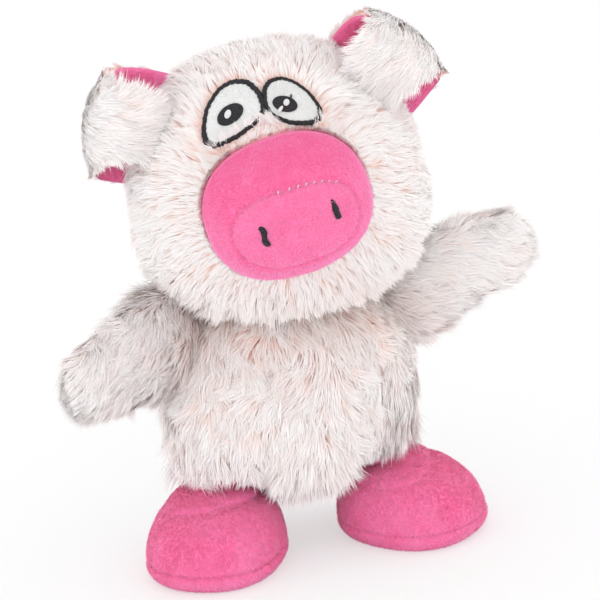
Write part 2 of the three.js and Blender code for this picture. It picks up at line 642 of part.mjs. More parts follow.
const pig = new THREE.Group();
pig.add(makeTorso());
pig.add(makeHead());
pig.add(makeArm('arm_left', LEFT_ARM));
pig.add(makeArm('arm_right', RIGHT_ARM));
pig.add(makeBoot('boot_left', LEFT_BOOT));
pig.add(makeBoot('boot_right', RIGHT_BOOT));

// The origin is under the middle of the whole toy, on the floor
const middle = new THREE.Box3().setFromObject(pig, true).getCenter(new THREE.Vector3());
pig.position.set(-middle.x, -middle.y, 0);

export default pig;
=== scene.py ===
"""Looks of a stuffed toy pig: long combed pile over stuffed bags, a short-pile snout and boots, stitched eyes.

Every size is in millimetres in the maker's frame, and becomes metres when a mesh is made. Left and right are as
seen from the front. The pile is real geometry: each fibre is a narrow tapering ribbon.
"""

import json
import logging
import math
from collections.abc import Callable
from dataclasses import dataclass, field
from enum import Enum

import bpy
import numpy as np
from mathutils import Matrix, Vector


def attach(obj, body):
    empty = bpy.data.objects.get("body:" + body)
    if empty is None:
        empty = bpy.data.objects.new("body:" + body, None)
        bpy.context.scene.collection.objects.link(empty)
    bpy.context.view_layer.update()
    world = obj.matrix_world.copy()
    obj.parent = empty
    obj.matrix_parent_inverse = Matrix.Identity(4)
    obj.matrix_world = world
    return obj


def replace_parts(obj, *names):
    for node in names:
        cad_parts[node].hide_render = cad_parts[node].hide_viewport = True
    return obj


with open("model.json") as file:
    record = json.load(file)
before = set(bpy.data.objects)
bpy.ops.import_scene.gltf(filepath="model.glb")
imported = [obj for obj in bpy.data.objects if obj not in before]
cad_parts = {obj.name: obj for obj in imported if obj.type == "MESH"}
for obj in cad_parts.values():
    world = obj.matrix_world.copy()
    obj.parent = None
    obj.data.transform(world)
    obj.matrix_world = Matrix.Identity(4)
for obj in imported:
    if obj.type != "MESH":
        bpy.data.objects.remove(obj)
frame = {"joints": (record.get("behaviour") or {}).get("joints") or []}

Array = np.ndarray
LOG = logging.getLogger("plush_pig")
PILE_MAP = "OFBake"
MM = 0.001
DOWN = np.array([0.0, 0.0, -1.0])
FLOOR = np.array([-np.inf, -np.inf, 0.0])
# columns of fibre tones side by side in the pile's map
TONES = 48
# rounds of halving that find a surface, and points compared with all centres at a time
HALVINGS = 40
BLOCK = 4000
# how far, in millimetres, a point moves at a time to get clear of a skin, and how far it then keeps off
STEP = 0.5
CLEARANCE = 0.5


class Side(Enum):
    """The two sides of the toy, with the sign of their X."""

    LEFT = -1
    RIGHT = 1

    @property
    def word(self) -> str:
        """The side's word in a piece's name."""
        return self.name.lower()


# Vectors, turns and places


def unit(vectors: Array) -> Array:
    """Vectors of length one along the given ones."""
    return vectors / np.maximum(np.linalg.norm(vectors, axis=-1, keepdims=True), 1e-9)


def dot(first: Array, second: Array) -> Array:
    """Row by row scalar product, kept as a column."""
    return np.sum(first * second, axis=-1, keepdims=True)


def flat_on(vectors: Array, normals: Array) -> Array:
    """The unit part of each vector that lies in the surface with the given normals."""
    return unit(vectors - dot(vectors, normals) * normals)


def turn(axis: tuple[float, float, float], degrees: float) -> Array:
    """The 3 by 3 turn about an axis, by the right-hand rule."""
    return np.array(Matrix.Rotation(math.radians(degrees), 3, Vector(axis)))


def smooth(value: Array, low: float, high: float) -> Array:
    """A soft step from 0 at low to 1 at high: the cubic 3t squared minus 2t cubed."""
    share = np.clip((value - low) / (high - low), 0, 1)
    return share * share * (3 - 2 * share)


def drift(points: Array, size: float, seed: int) -> Array:
    """Smooth patches from about -1 to 1: a mean of sine waves in random directions, each about one size long.

    Args:
        points: places in millimetres, (..., 3).
        size: how far apart the patches are, in millimetres.
        seed: picks the waves.
    Returns:
        One value for each place.
    """
    rng = np.random.default_rng(seed)
    waves = rng.normal(0, 1, (3, 9)) * (2 * math.pi / size / 1.7)
    phases = rng.uniform(0, 2 * math.pi, 9)
    return np.sin(points @ waves + phases).sum(-1) / 3.6


@dataclass(frozen=True)
class Place:
    """Where a part's own frame sits: a turn, then a shift in millimetres."""

    turned: Array
    origin: Array

    def out(self, points: Array) -> Array:
        """Points of the part's frame, in the toy's frame."""
        return points @ self.turned.T + self.origin

    def into(self, points: Array) -> Array:
        """Points of the toy's frame, in the part's frame."""
        return (points - self.origin) @ self.turned

    def along(self, vectors: Array) -> Array:
        """Directions of the part's frame, in the toy's frame."""
        return vectors @ self.turned.T


# Meshes


def make_piece(name: str, body: str, finish: "Finish", mesh: bpy.types.Mesh) -> bpy.types.Object:
    """Puts a finished mesh into the scene as one piece that rides on a body."""
    piece = bpy.data.objects.new(name, mesh)
    bpy.context.scene.collection.objects.link(piece)
    mesh.materials.append(finish.material())
    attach(piece, body)
    LOG.info("%s: %d faces on %s", name, len(mesh.polygons), body)
    return piece


def make_skin(name: str, body: str, finish: "Finish", mesh: bpy.types.Mesh, fill: float, *nodes: str) -> None:
    """Makes a piece that stands for some of the maker's nodes. The fill is not used."""
    skin = make_piece(name, body, finish, mesh)
    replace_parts(skin, *nodes)


def mesh_from(name: str, points: Array, loops: Array, sizes: Array, uv: Array | None = None) -> bpy.types.Mesh:
    """A smooth mesh from whole arrays.

    Args:
        points: corners in millimetres, (n, 3).
        loops: corner numbers of all faces, one after another.
        sizes: how many corners each face has.
        uv: a map value for each entry of loops, (len(loops), 2), or None.
    Returns:
        The mesh, in metres.
    """
    mesh = bpy.data.meshes.new(name)
    mesh.vertices.add(len(points))
    mesh.vertices.foreach_set("co", (points * MM).astype(np.float32).ravel())
    mesh.loops.add(len(loops))
    mesh.loops.foreach_set("vertex_index", loops.astype(np.int32))
    mesh.polygons.add(len(sizes))
    starts = np.concatenate([[0], np.cumsum(sizes)[:-1]]).astype(np.int32)
    mesh.polygons.foreach_set("loop_start", starts)
    mesh.polygons.foreach_set("use_smooth", np.ones(len(sizes), dtype=bool))
    if uv is not None:
        layer = mesh.uv_layers.new(name=PILE_MAP)
        layer.uv.foreach_set("vector", uv.astype(np.float32).ravel())
    mesh.update()
    mesh.validate()
    return mesh


def closed_arrays(grid: Array, flip: bool = False) -> tuple[Array, Array, Array]:
    """A closed skin over rings of points, with a fan to the middle of the first ring and of the last.

    Args:
        grid: rings by points by 3, each ring going round once without a repeated point.
        flip: turns every face the other way out.
    Returns:
        The points, the corner numbers of all faces, and how many corners each face has.
    """
    rings, count, _ = grid.shape
    corner = np.arange(rings * count).reshape(rings, count)
    after = np.roll(corner, -1, axis=1)
    quads = np.stack([corner[:-1], after[:-1], after[1:], corner[1:]], -1).reshape(-1, 4)
    first, last = rings * count, rings * count + 1
    low = np.stack([np.full(count, first), after[0], corner[0]], -1)
    high = np.stack([np.full(count, last), corner[-1], after[-1]], -1)
    points = np.concatenate([grid.reshape(-1, 3), grid[0].mean(0)[None], grid[-1].mean(0)[None]])
    if flip:
        quads, low, high = quads[:, ::-1], low[:, ::-1], high[:, ::-1]
    loops = np.concatenate([quads.ravel(), low.ravel(), high.ravel()])
    sizes = np.concatenate([np.full(len(quads), 4), np.full(2 * count, 3)])
    return points, loops, sizes


def closed_grid(name: str, grid: Array, flip: bool = False) -> bpy.types.Mesh:
    """The closed skin over rings of points, as a mesh in metres."""
    return mesh_from(name, *closed_arrays(grid, flip))


def tube_grid(name: str, grid: Array) -> bpy.types.Mesh:
    """A closed ring-shaped skin from cross-sections that go round a loop, (sections, points, 3)."""
    rings, count, _ = grid.shape
    corner = np.arange(rings * count).reshape(rings, count)
    after, next_ring = np.roll(corner, -1, axis=1), np.roll(corner, -1, axis=0)
    both = np.roll(next_ring, -1, axis=1)
    quads = np.stack([corner, after, both, next_ring], -1).reshape(-1, 4)
    return mesh_from(name, grid.reshape(-1, 3), quads.ravel(), np.full(len(quads), 4))


# Finishes


class Nodes:
    """A short way to place and join a material's nodes."""

    def __init__(self, tree: bpy.types.NodeTree) -> None:
        """Starts on an empty tree."""
        self.tree = tree
        tree.nodes.clear()

    def add(self, kind: str, settings: dict | None = None, **inputs: object) -> bpy.types.Node:
        """Adds a node.

        Args:
            kind: the node's type without its ShaderNode prefix.
            settings: properties of the node itself.
            inputs: values or output sockets by input name, with _ for a space.
        Returns:
            The new node.
        """
        node = self.tree.nodes.new("ShaderNode" + kind)
        for key, value in (settings or {}).items():
            setattr(node, key, value)
        for key, value in inputs.items():
            self.feed(node.inputs[key.replace("_", " ")], value)
        return node

    def feed(self, socket: bpy.types.NodeSocket, value: object) -> None:
        """Sets an input, or joins an output to it."""
        if isinstance(value, bpy.types.NodeSocket):
            self.tree.links.new(value, socket)
        else:
            socket.default_value = value

    def maths(self, operation: str, first: object, second: object = 0.0) -> bpy.types.NodeSocket:
        """One step of arithmetic."""
        node = self.tree.nodes.new("ShaderNodeMath")
        node.operation = operation
        self.feed(node.inputs[0], first)
        self.feed(node.inputs[1], second)
        return node.outputs[0]

    def blend(self, share: object, first: object, second: object) -> bpy.types.NodeSocket:
        """A colour between two, by a share from 0 to 1."""
        node = self.tree.nodes.new("ShaderNodeMix")
        node.data_type = "RGBA"
        self.feed(node.inputs["Factor"], share)
        self.feed(node.inputs["A"], first)
        self.feed(node.inputs["B"], second)
        return node.outputs["Result"]

    def mix(self, share: object, first: bpy.types.Node, second: bpy.types.Node) -> bpy.types.NodeSocket:
        """A shader between two, by a share from 0 to 1."""
        node = self.add("MixShader", Fac=share)
        self.feed(node.inputs[1], first.outputs[0])
        self.feed(node.inputs[2], second.outputs[0])
        return node.outputs[0]

    def seen(self) -> bpy.types.NodeSocket:
        """1 for camera, glossy and transmission rays, and 0 for those that carry light."""
        rays = self.add("LightPath").outputs
        first = self.maths("MAXIMUM", rays["Is Camera Ray"], rays["Is Glossy Ray"])
        return self.maths("MAXIMUM", first, rays["Is Transmission Ray"])

    def ramp(self, share: object, stops: tuple) -> bpy.types.NodeSocket:
        """A colour ramp through (place, colour) stops."""
        node = self.tree.nodes.new("ShaderNodeValToRGB")
        element = node.color_ramp.elements
        while len(element) < len(stops):
            element.new(0.5)
        for item, (place, colour) in zip(element, stops):
            item.position, item.color = place, (*colour, 1)
        self.feed(node.inputs[0], share)
        return node.outputs["Color"]


def new_material(name: str) -> tuple[bpy.types.Material, Nodes]:
    """An empty node material and its nodes."""
    material = bpy.data.materials.new(name)
    material.use_nodes = True
    return material, Nodes(material.node_tree)


def grain_group() -> bpy.types.NodeTree:
    """The grain of a short pile or a felt: fine tufts, and broad patches where the nap is stroked another way.

    Returns:
        A group with inputs Tuft and Patch, in tufts and patches per metre, and outputs Tufts, Nap and Height.
    """
    known = bpy.data.node_groups.get("cloth_grain")
    if known:
        return known
    group = bpy.data.node_groups.new("cloth_grain", "ShaderNodeTree")
    for word in ("Tuft", "Patch"):
        group.interface.new_socket(word, in_out="INPUT", socket_type="NodeSocketFloat")
    for word in ("Tufts", "Nap", "Height"):
        group.interface.new_socket(word, in_out="OUTPUT", socket_type="NodeSocketFloat")
    nodes = Nodes(group)
    given = nodes.tree.nodes.new("NodeGroupInput")
    place = nodes.add("TexCoord").outputs["Object"]
    fine = nodes.add("TexNoise", Vector=place, Scale=given.outputs["Tuft"], Detail=3.0, Roughness=0.6)
    cells = nodes.add("TexVoronoi", Vector=place, Scale=given.outputs["Tuft"], Randomness=1.0)
    broad = nodes.add("TexNoise", Vector=place, Scale=given.outputs["Patch"], Detail=2.0, Roughness=0.5, Distortion=0.6)
    height = nodes.maths("SUBTRACT", fine.outputs["Fac"], nodes.maths("MULTIPLY", cells.outputs["Distance"], 0.5))
    result = nodes.tree.nodes.new("NodeGroupOutput")
    nodes.feed(result.inputs["Tufts"], fine.outputs["Fac"])
    nodes.feed(result.inputs["Nap"], broad.outputs["Fac"])
    nodes.feed(result.inputs["Height"], height)
    return group


@dataclass(frozen=True)
class Finish:
    """A finish and a slot's name, which is not used. Its material is made once."""

    name: str
    slot: str

    def material(self) -> bpy.types.Material:
        """The material, made at the first call."""
        known = bpy.data.materials.get(self.name)
        if known:
            return known
        material, nodes = new_material(self.name)
        nodes.add("OutputMaterial", Surface=self.surface(nodes))
        return material

    def surface(self, nodes: Nodes) -> bpy.types.NodeSocket:
        """Places the finish's own nodes, and gives the last shader's output."""
        raise NotImplementedError


@dataclass(frozen=True)
class FibreFinish(Finish):
    """Fibres coloured by their own map: U is the tone, from pale to warm, and V runs from root to tip. A share of
    the light goes through them."""

    pale: tuple
    warm: tuple
    roughness: float = 0.75
    sheen: float = 0.15
    through: float = 0.0

    def surface(self, nodes: Nodes) -> bpy.types.NodeSocket:
        """Two ramps along the fibre, blended by its tone."""
        spot = nodes.add("UVMap", {"uv_map": PILE_MAP}).outputs["UV"]
        parts = nodes.add("SeparateXYZ", Vector=spot)
        pale = nodes.ramp(parts.outputs["Y"], self.pale)
        warm = nodes.ramp(parts.outputs["Y"], self.warm)
        tone = nodes.blend(parts.outputs["X"], pale, warm)
        shader = nodes.add("BsdfPrincipled", Base_Color=tone, Roughness=self.roughness, Sheen_Weight=self.sheen)
        shader.inputs["Specular IOR Level"].default_value = 0.1
        if not self.through:
            return shader.outputs[0]
        return nodes.mix(self.through, shader, nodes.add("BsdfTranslucent", Color=tone))


@dataclass(frozen=True)
class ClothFinish(Finish):
    """A short-pile or felt surface: colour that shifts with the nap, and a fine tufted bump."""

    colour: tuple
    deep: tuple
    tuft: float
    patch: float
    bump: float
    roughness: float = 0.9
    sheen: float = 0.3

    def surface(self, nodes: Nodes) -> bpy.types.NodeSocket:
        """Colour and roughness by the grain, and its bump."""
        grain = nodes.add("Group", {"node_tree": grain_group()}, Tuft=self.tuft, Patch=self.patch)
        nap = nodes.ramp(grain.outputs["Nap"], ((0.34, self.deep), (0.62, self.colour)))
        shade = nodes.ramp(grain.outputs["Tufts"], ((0.25, self.deep), (0.6, self.colour)))
        colour = nodes.blend(0.5, nap, shade)
        rough = nodes.maths("ADD", nodes.maths("MULTIPLY", grain.outputs["Tufts"], 0.15), self.roughness - 0.1)
        bump = nodes.add("Bump", Height=grain.outputs["Height"], Strength=self.bump, Distance=0.0006)
        looks = {"Base_Color": colour, "Roughness": rough, "Normal": bump.outputs[0], "Sheen_Weight": self.sheen}
        shader = nodes.add("BsdfPrincipled", **looks)
        shader.inputs["Specular IOR Level"].default_value = 0.2
        return shader.outputs[0]


@dataclass(frozen=True)
class ThreadFinish(Finish):
    """Satin-stitched thread: fine, uneven slanting ridges with a soft sheen, their crests coloured lighter as a painted
    sheen.
    """

    colour: tuple
    bright: tuple
    ridges: float
    roughness: float = 0.5

    def surface(self, nodes: Nodes) -> bpy.types.NodeSocket:
        """Colour and bump by one wave; the crests take the lighter colour, a painted sheen."""
        place = nodes.add("TexCoord").outputs["Object"]
        wave = nodes.add("TexWave", {"bands_direction": "DIAGONAL"}, Vector=place, Scale=self.ridges)
        for key, value in (("Distortion", 6.0), ("Detail", 2.0), ("Detail Scale", 2.0)):
            wave.inputs[key].default_value = value
        colour = nodes.blend(wave.outputs["Fac"], (*self.colour, 1), (*self.bright, 1))
        bump = nodes.add("Bump", Height=wave.outputs["Fac"], Strength=0.6, Distance=0.0003)
        shader = nodes.add("BsdfPrincipled", Base_Color=colour, Roughness=self.roughness, Normal=bump.outputs[0])
        shader.inputs["Specular IOR Level"].default_value = 0.3
        return shader.outputs[0]


# Both ramps of the long pile run from a deeper salmon at the root to near white at the tip: partly the fibres' dye,
# partly painted shade in the depth of the pile.
LONG_FIBRE = FibreFinish(
    "long_pile_fibre",
    "long_pile",
    pale=(
        (0.0, (0.95, 0.64, 0.55)),
        (0.25, (0.98, 0.85, 0.81)),
        (0.55, (0.99, 0.965, 0.96)),
        (1.0, (0.995, 0.985, 0.98)),
    ),
    warm=(
        (0.0, (0.93, 0.50, 0.40)),
        (0.35, (0.95, 0.64, 0.56)),
        (0.7, (0.97, 0.82, 0.775)),
        (1.0, (0.98, 0.92, 0.895)),
    ),
    sheen=0.0,
    through=0.1,
)
PINK_FIBRE = FibreFinish(
    "short_pile_fibre",
    "pink_minky",
    pale=((0.0, (0.90, 0.18, 0.41)), (0.5, (0.93, 0.285, 0.54)), (1.0, (0.945, 0.40, 0.65))),
    warm=((0.0, (0.89, 0.10, 0.31)), (0.5, (0.92, 0.165, 0.39)), (1.0, (0.935, 0.225, 0.47))),
    roughness=0.85,
    sheen=0.2,
)
FELT_FIBRE = FibreFinish(
    "felt_fibre",
    "white_felt",
    pale=((0.0, (0.88, 0.885, 0.875)), (1.0, (0.94, 0.94, 0.925))),
    warm=((0.0, (0.84, 0.845, 0.84)), (1.0, (0.90, 0.90, 0.89))),
    roughness=0.9,
    sheen=0.0,
)
BACKING = ClothFinish(
    "pile_backing", "long_pile", (0.96, 0.78, 0.71), (0.94, 0.68, 0.60), tuft=700, patch=40, bump=0.4
)
MINKY = ClothFinish(
    "pink_short_pile", "pink_minky", (0.93, 0.22, 0.45), (0.91, 0.155, 0.37), tuft=1900, patch=38, bump=0.35
)
FELT = ClothFinish(
    "white_felt", "white_felt", (0.76, 0.78, 0.77), (0.70, 0.72, 0.71), tuft=1800, patch=90, bump=0.3, sheen=0.1
)
BLACK_THREAD = ThreadFinish(
    "black_satin_thread", "black_satin", (0.006, 0.006, 0.008), (0.03, 0.03, 0.034), ridges=420
)
WHITE_THREAD = ThreadFinish(
    "white_sewing_thread", "white_thread", (0.74, 0.72, 0.73), (0.80, 0.78, 0.79), ridges=420
)


# Bags


def scatter(
    surface: Callable[[Array, Array], Array],
    first: tuple[float, float],
    second: tuple[float, float],
    count: int,
    seed: int,
) -> tuple[Array, Array]:
    """Random places on a surface, as many to each bit of its area.

    The surface is cut into 120 by 160 cells, a cell is drawn by its area, and a place is drawn evenly inside it.

    Args:
        surface: points for a first and a second parameter.
        first: the first parameter's range.
        second: the second parameter's range.
        count: how many places.
        seed: picks the places.
    Returns:
        The first and the second parameter of each place.
    """
    rng = np.random.default_rng(seed)
    u, v = np.linspace(*first, 121), np.linspace(*second, 161)
    corner = surface(u[:, None], v[None, :])
    up, across = corner[1:, :-1] - corner[:-1, :-1], corner[:-1, 1:] - corner[:-1, :-1]
    area = np.linalg.norm(np.cross(up, across), axis=-1)
    row, column = np.divmod(rng.choice(area.size, count, p=(area / area.sum()).ravel()), area.shape[1])
    inside = rng.uniform(0, 1, (2, count))
    return u[row] + inside[0] * (u[1] - u[0]), v[column] + inside[1] * (v[1] - v[0])


def tangents(
    surface: Callable[[Array, Array], Array], first: Array, second: Array, steps: tuple[float, float]
) -> tuple[Array, Array, Array]:
    """Places on a surface and how it runs there.

    Args:
        surface: points for a first and a second parameter.
        first: the first parameter of each place.
        second: the second parameter of each place.
        steps: how far to step each parameter for its direction.
    Returns:
        The places, their shifts for the first step, and the unit cross product of the first shift and the second.
    """
    base = surface(first, second)
    ahead = surface(first + steps[0], second) - base
    beside = surface(first, second + steps[1]) - base
    return base, ahead, unit(np.cross(ahead, beside))


@dataclass(frozen=True)
class Bag:
    """A stuffed bag about +Z. With L the level from -1 at the bottom to 1 at the top, its elliptical section
    shrinks by (1 - |L| ** box) ** (1 / box), and widens low down by the cheek share."""

    half_x: float
    half_y: float
    rise: float
    drop: float
    cheek: float
    box: float

    def point(self, latitude: Array, longitude: Array, inset: float = 0.0) -> Array:
        """Points of the skin, the latitude and the longitude in radians, drawn in by an inset."""
        power = 2 / self.box
        level = np.sign(latitude) * np.abs(np.sin(latitude)) ** power
        swell = np.abs(np.cos(latitude)) ** power * (1 - self.cheek * level)
        height = level * (np.where(level > 0, self.rise, self.drop) - inset)
        x = np.cos(longitude) * (self.half_x - inset) * swell
        y = np.sin(longitude) * (self.half_y - inset) * swell
        return np.stack(np.broadcast_arrays(x, y, height), -1)

    def depth(self, points: Array, grow: float = 0.0) -> Array:
        """Below 0 inside the bag grown by a margin, above 0 outside, and about 1 per bag radius."""
        span = np.where(points[..., 2] > 0, self.rise, self.drop) + grow
        level = points[..., 2] / span
        held = np.clip(level, -1, 1)
        swell = (1 - np.abs(held) ** self.box) ** (1 / self.box) * (1 - self.cheek * held)
        radius = np.hypot(points[..., 0] / (self.half_x + grow), points[..., 1] / (self.half_y + grow))
        return radius - swell + np.maximum(np.abs(level) - 1, 0)

    def normal(self, points: Array) -> Array:
        """Outward unit normals at points near the skin, from the slope of depth."""
        step = 0.02
        slope = [self.depth(points + step * axis) - self.depth(points - step * axis) for axis in np.eye(3)]
        return unit(np.stack(slope, -1))

    def grid(self, rings: int, count: int, inset: float = 0.0) -> Array:
        """Rings of skin points from just above the bottom to just below the top."""
        latitude = (np.arange(1, rings) / rings - 0.5) * math.pi
        longitude = np.arange(count) / count * 2 * math.pi
        return self.point(latitude[:, None], longitude[None, :], inset)

    def scatter(self, count: int, seed: int) -> Array:
        """Random skin points, as many to each bit of area."""
        return self.point(*scatter(self.point, (-math.pi / 2, math.pi / 2), (0, 2 * math.pi), count, seed))

    def reach(self, points: Array, direction: Array, low: float, high: float, grow: float = 0.0) -> Array:
        """Where lines cross the skin, by halving the stretch from low to high."""
        near = np.full(points.shape[:-1], low)
        far = np.full(points.shape[:-1], high)
        sign = np.sign(self.depth(points + direction * low, grow))
        for _ in range(HALVINGS):
            middle = (near + far) / 2
            same = np.sign(self.depth(points + direction * middle[..., None], grow)) == sign
            near, far = np.where(same, middle, near), np.where(same, far, middle)
        return points + direction * near[..., None]


# Pile


@dataclass(frozen=True)
class Lay:
    """How a pile lies on its cloth.

    Lengths and widths are in millimetres. The painted gap shade is how much warmer and deeper the fibres in the shaded
    gaps between the locks are coloured. Lift is the share of the fibre's start that stands off the cloth, tuck the
    share at its tip, sag the pull downwards, stray the sideways spread, curl the bend, loose the share of fibres that
    belong to no lock, and locks the sizes, in fibres, and pulls of the locks within locks.
    """

    length: float
    width: float
    # painted shade: how much warmer the fibres in the gaps between locks are coloured
    blush: float = 0.2
    lift: float = 0.7
    tuck: float = 0.2
    sag: float = 0.2
    stray: float = 0.3
    curl: float = 0.0
    loose: float = 0.16
    locks: tuple = ((110, 0.22), (18, 0.42))
    segments: int = 3


NAP = Lay(length=1.4, width=0.22, lift=1.1, tuck=0.35, sag=0.0, stray=0.4, locks=((7, 0.12),), segments=2)


def nearest(points: Array, centres: Array) -> Array:
    """The number of the nearest centre to each point, from the squared distances, a block at a time."""
    squares = (centres**2).sum(-1)
    blocks = np.array_split(points, len(points) // BLOCK + 1)
    return np.concatenate([np.argmin(squares - 2 * block @ centres.T, axis=1) for block in blocks])


def fibre_paths(
    roots: Array, normals: Array, flow: Array, lay: Lay, reach: Array, hang: Array | float, seed: int
) -> tuple[Array, Array]:
    """The middle lines of all fibres.

    A fibre starts off the cloth between its normal and the comb's direction and bends over to lie along the comb
    and down. The fibres of a lock swing together, and their tips are drawn to the lock's own middle fibre.

    Args:
        roots: where the fibres start.
        normals: the cloth's normals there.
        flow: the comb's direction there.
        lay: how the pile lies.
        reach: each fibre's length as a share of the lay's.
        hang: how much more than the lay's sag each fibre hangs.
        seed: picks the random swing, lift and length.
    Returns:
        The lines, (fibres, segments + 1, 3), and how far each root is from its smallest lock's middle, about 1
        half way out.
    """
    rng = np.random.default_rng(seed)
    count = len(roots)
    along = flat_on(flow, normals)
    across = np.cross(normals, along)
    swing, lift, length, bend = (rng.normal(0, spread, count) for spread in (0.3, 0.16, 0.08, 0.4))
    swing, bend = swing * lay.stray, bend * lay.curl
    gathered = []
    for size, pull in lay.locks:
        heads = rng.choice(count, max(1, count // size), replace=False)
        lock = nearest(roots, roots[heads])
        gathered.append((heads, lock, pull))
        swing = swing + rng.normal(0, 0.75 * lay.stray, len(heads))[lock]
        lift = lift + rng.normal(0, 0.16, len(heads))[lock]
        length = length + rng.normal(0, 0.08, len(heads))[lock]
        bend = bend + rng.normal(0, 0.7 * lay.curl, len(heads))[lock]
    away = np.linalg.norm(roots - roots[heads][lock], axis=-1)
    edge = away / max(np.median(away), 1e-6)
    length = lay.length * reach * np.clip(1 + length, 0.5, 1.4) * rng.uniform(0.78, 1.05, count)
    start = unit(normals * (lay.lift * (1 + lift))[:, None] + along + across * swing[:, None])
    hang = np.broadcast_to(hang, count)[:, None]
    aside = across * (swing * 1.3 + bend)[:, None]
    end = unit(along + aside + normals * (lay.tuck + 0.25 * hang) + DOWN * (lay.sag + hang))
    share = (np.arange(lay.segments) + 0.5) / lay.segments
    heading = unit(start[:, None] * (1 - share)[:, None] + end[:, None] * share[:, None])
    steps = heading * (length / lay.segments)[:, None, None]
    path = np.concatenate([roots[:, None], roots[:, None] + np.cumsum(steps, axis=1)], axis=1)
    held = rng.uniform(0.5, 1.1, count) * (rng.uniform(0, 1, count) > lay.loose)
    rising = (np.arange(lay.segments + 1) / lay.segments) ** 1.3
    for heads, lock, pull in gathered:
        pulled = (path[heads][lock] - path) * rising[:, None] * (pull * held)[:, None, None]
        size = np.linalg.norm(pulled, axis=-1, keepdims=True)
        path = path + pulled * np.minimum(1, 0.4 * length[:, None, None] / np.maximum(size, 1e-6))
    return path, edge


def grow(
    name: str,
    body: str,
    finish: FibreFinish,
    lay: Lay,
    roots: Array,
    normals: Array,
    flow: Array,
    tone: Array,
    reach: Array,
    seed: int,
    hang: Array | float = 0.0,
    rest: Callable[[Array], Array] | None = None,
    facing: Array | None = None,
) -> bpy.types.Object:
    """Grows a pile of ribbons as one piece.

    Args:
        name: the piece's name.
        body: the body that it rides on.
        finish: the fibres' finish.
        lay: how the pile lies.
        roots: where the fibres start, in millimetres in the toy's frame.
        normals: the cloth's normals there.
        flow: the comb's direction there.
        tone: 0 for the palest fibres to 1 for the warmest; random tone and painted shade together.
        reach: each fibre's length as a share of the lay's.
        seed: picks the random swing, lift and length.
        hang: how much more than the lay's sag each fibre hangs.
        rest: moves the fibres' points, off what they lie on or from a flat cloth on to a bent one.
        facing: the normals in the toy's frame, where the others are those of a flat cloth.
    Returns:
        The piece.
    """
    path, edge = fibre_paths(roots, normals, flow, lay, reach, hang, seed)
    if rest:
        path = rest(path)
    facing = normals if facing is None else facing
    # Painted shade: fibres far from their lock's middle, in the gaps between locks, are coloured warmer and deeper.
    tone = tone + lay.blush * smooth(edge, 1.0, 2.2)
    count, stations = path.shape[:2]
    tangent = unit(np.gradient(path, axis=1))
    out = facing[:, None] + 0.35 * unit(np.random.default_rng(seed + 1).normal(0, 1, (count, 1, 3)))
    side = unit(np.cross(tangent, out))
    share = np.arange(stations) / (stations - 1)
    half = 0.5 * lay.width * (1 - 0.7 * share**1.5)[None, :, None] * side
    left, right = path[:, :-1] - half[:, :-1], path[:, :-1] + half[:, :-1]
    tip = path[:, -1:]
    points = np.concatenate([left, right, tip], axis=1)
    per, last = 2 * stations - 1, stations - 1
    low = np.arange(last - 1)
    quads = np.stack([low, low + last, low + last + 1, low + 1], -1).ravel()
    pattern = np.concatenate([quads, [last - 1, 2 * last - 1, 2 * last]])
    loops = (np.arange(count)[:, None] * per + pattern).ravel()
    sizes = np.tile(np.concatenate([np.full(last - 1, 4), [3]]), count)
    column = np.floor(np.clip(tone, 0, 0.999) * TONES) / TONES
    u = np.concatenate([np.full(last, 0.2), np.full(last, 0.8), [0.5]]) / TONES
    v = np.concatenate([share[:-1], share[:-1], [1.0]]) * 0.98 + 0.01
    spot = np.stack(np.broadcast_arrays(column[:, None] + u[pattern], v[pattern][None]), -1)
    mesh = mesh_from(name, points.reshape(-1, 3), loops, sizes, spot.reshape(-1, 2))
    return make_piece(name, body, finish, mesh)


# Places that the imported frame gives

JOINTS = {joint["name"]: joint for joint in frame["joints"]}


def pivot(name: str) -> Array:
    """A joint's pivot, in millimetres."""
    return np.array(JOINTS[name]["pos_m"], dtype=float) / MM


@dataclass(frozen=True)
class Obstacle:
    """A bag that another skin keeps clear of, with the turns that a joint gives it."""

    bag: Bag
    place: Place
    joint: str = ""
    angles: tuple[float, ...] = (0.0,)
    back: float = 1.0

    def depth(self, points: Array, margin: float) -> Array:
        """The least depth of the points in the bag, grown by a margin, over all its turns."""
        if not self.joint:
            return self.bag.depth(self.place.into(points), margin)
        about = pivot(self.joint)
        axis = tuple(JOINTS[self.joint]["axis"])
        turned = [(points - about) @ turn(axis, angle * self.back) + about for angle in self.angles]
        return np.min([self.bag.depth(self.place.into(each), margin) for each in turned], axis=0)


def slide_clear(points: Array, obstacle: Obstacle, direction: Array, margin: float, steps: int = 110) -> Array:
    """Slides the points that lie in an obstacle along a direction, a step at a time, until they are out."""
    moved = points.copy()
    for _ in range(steps):
        inside = obstacle.depth(moved, margin) < 0
        moved = moved + STEP * inside[..., None] * direction
    return moved


# Head


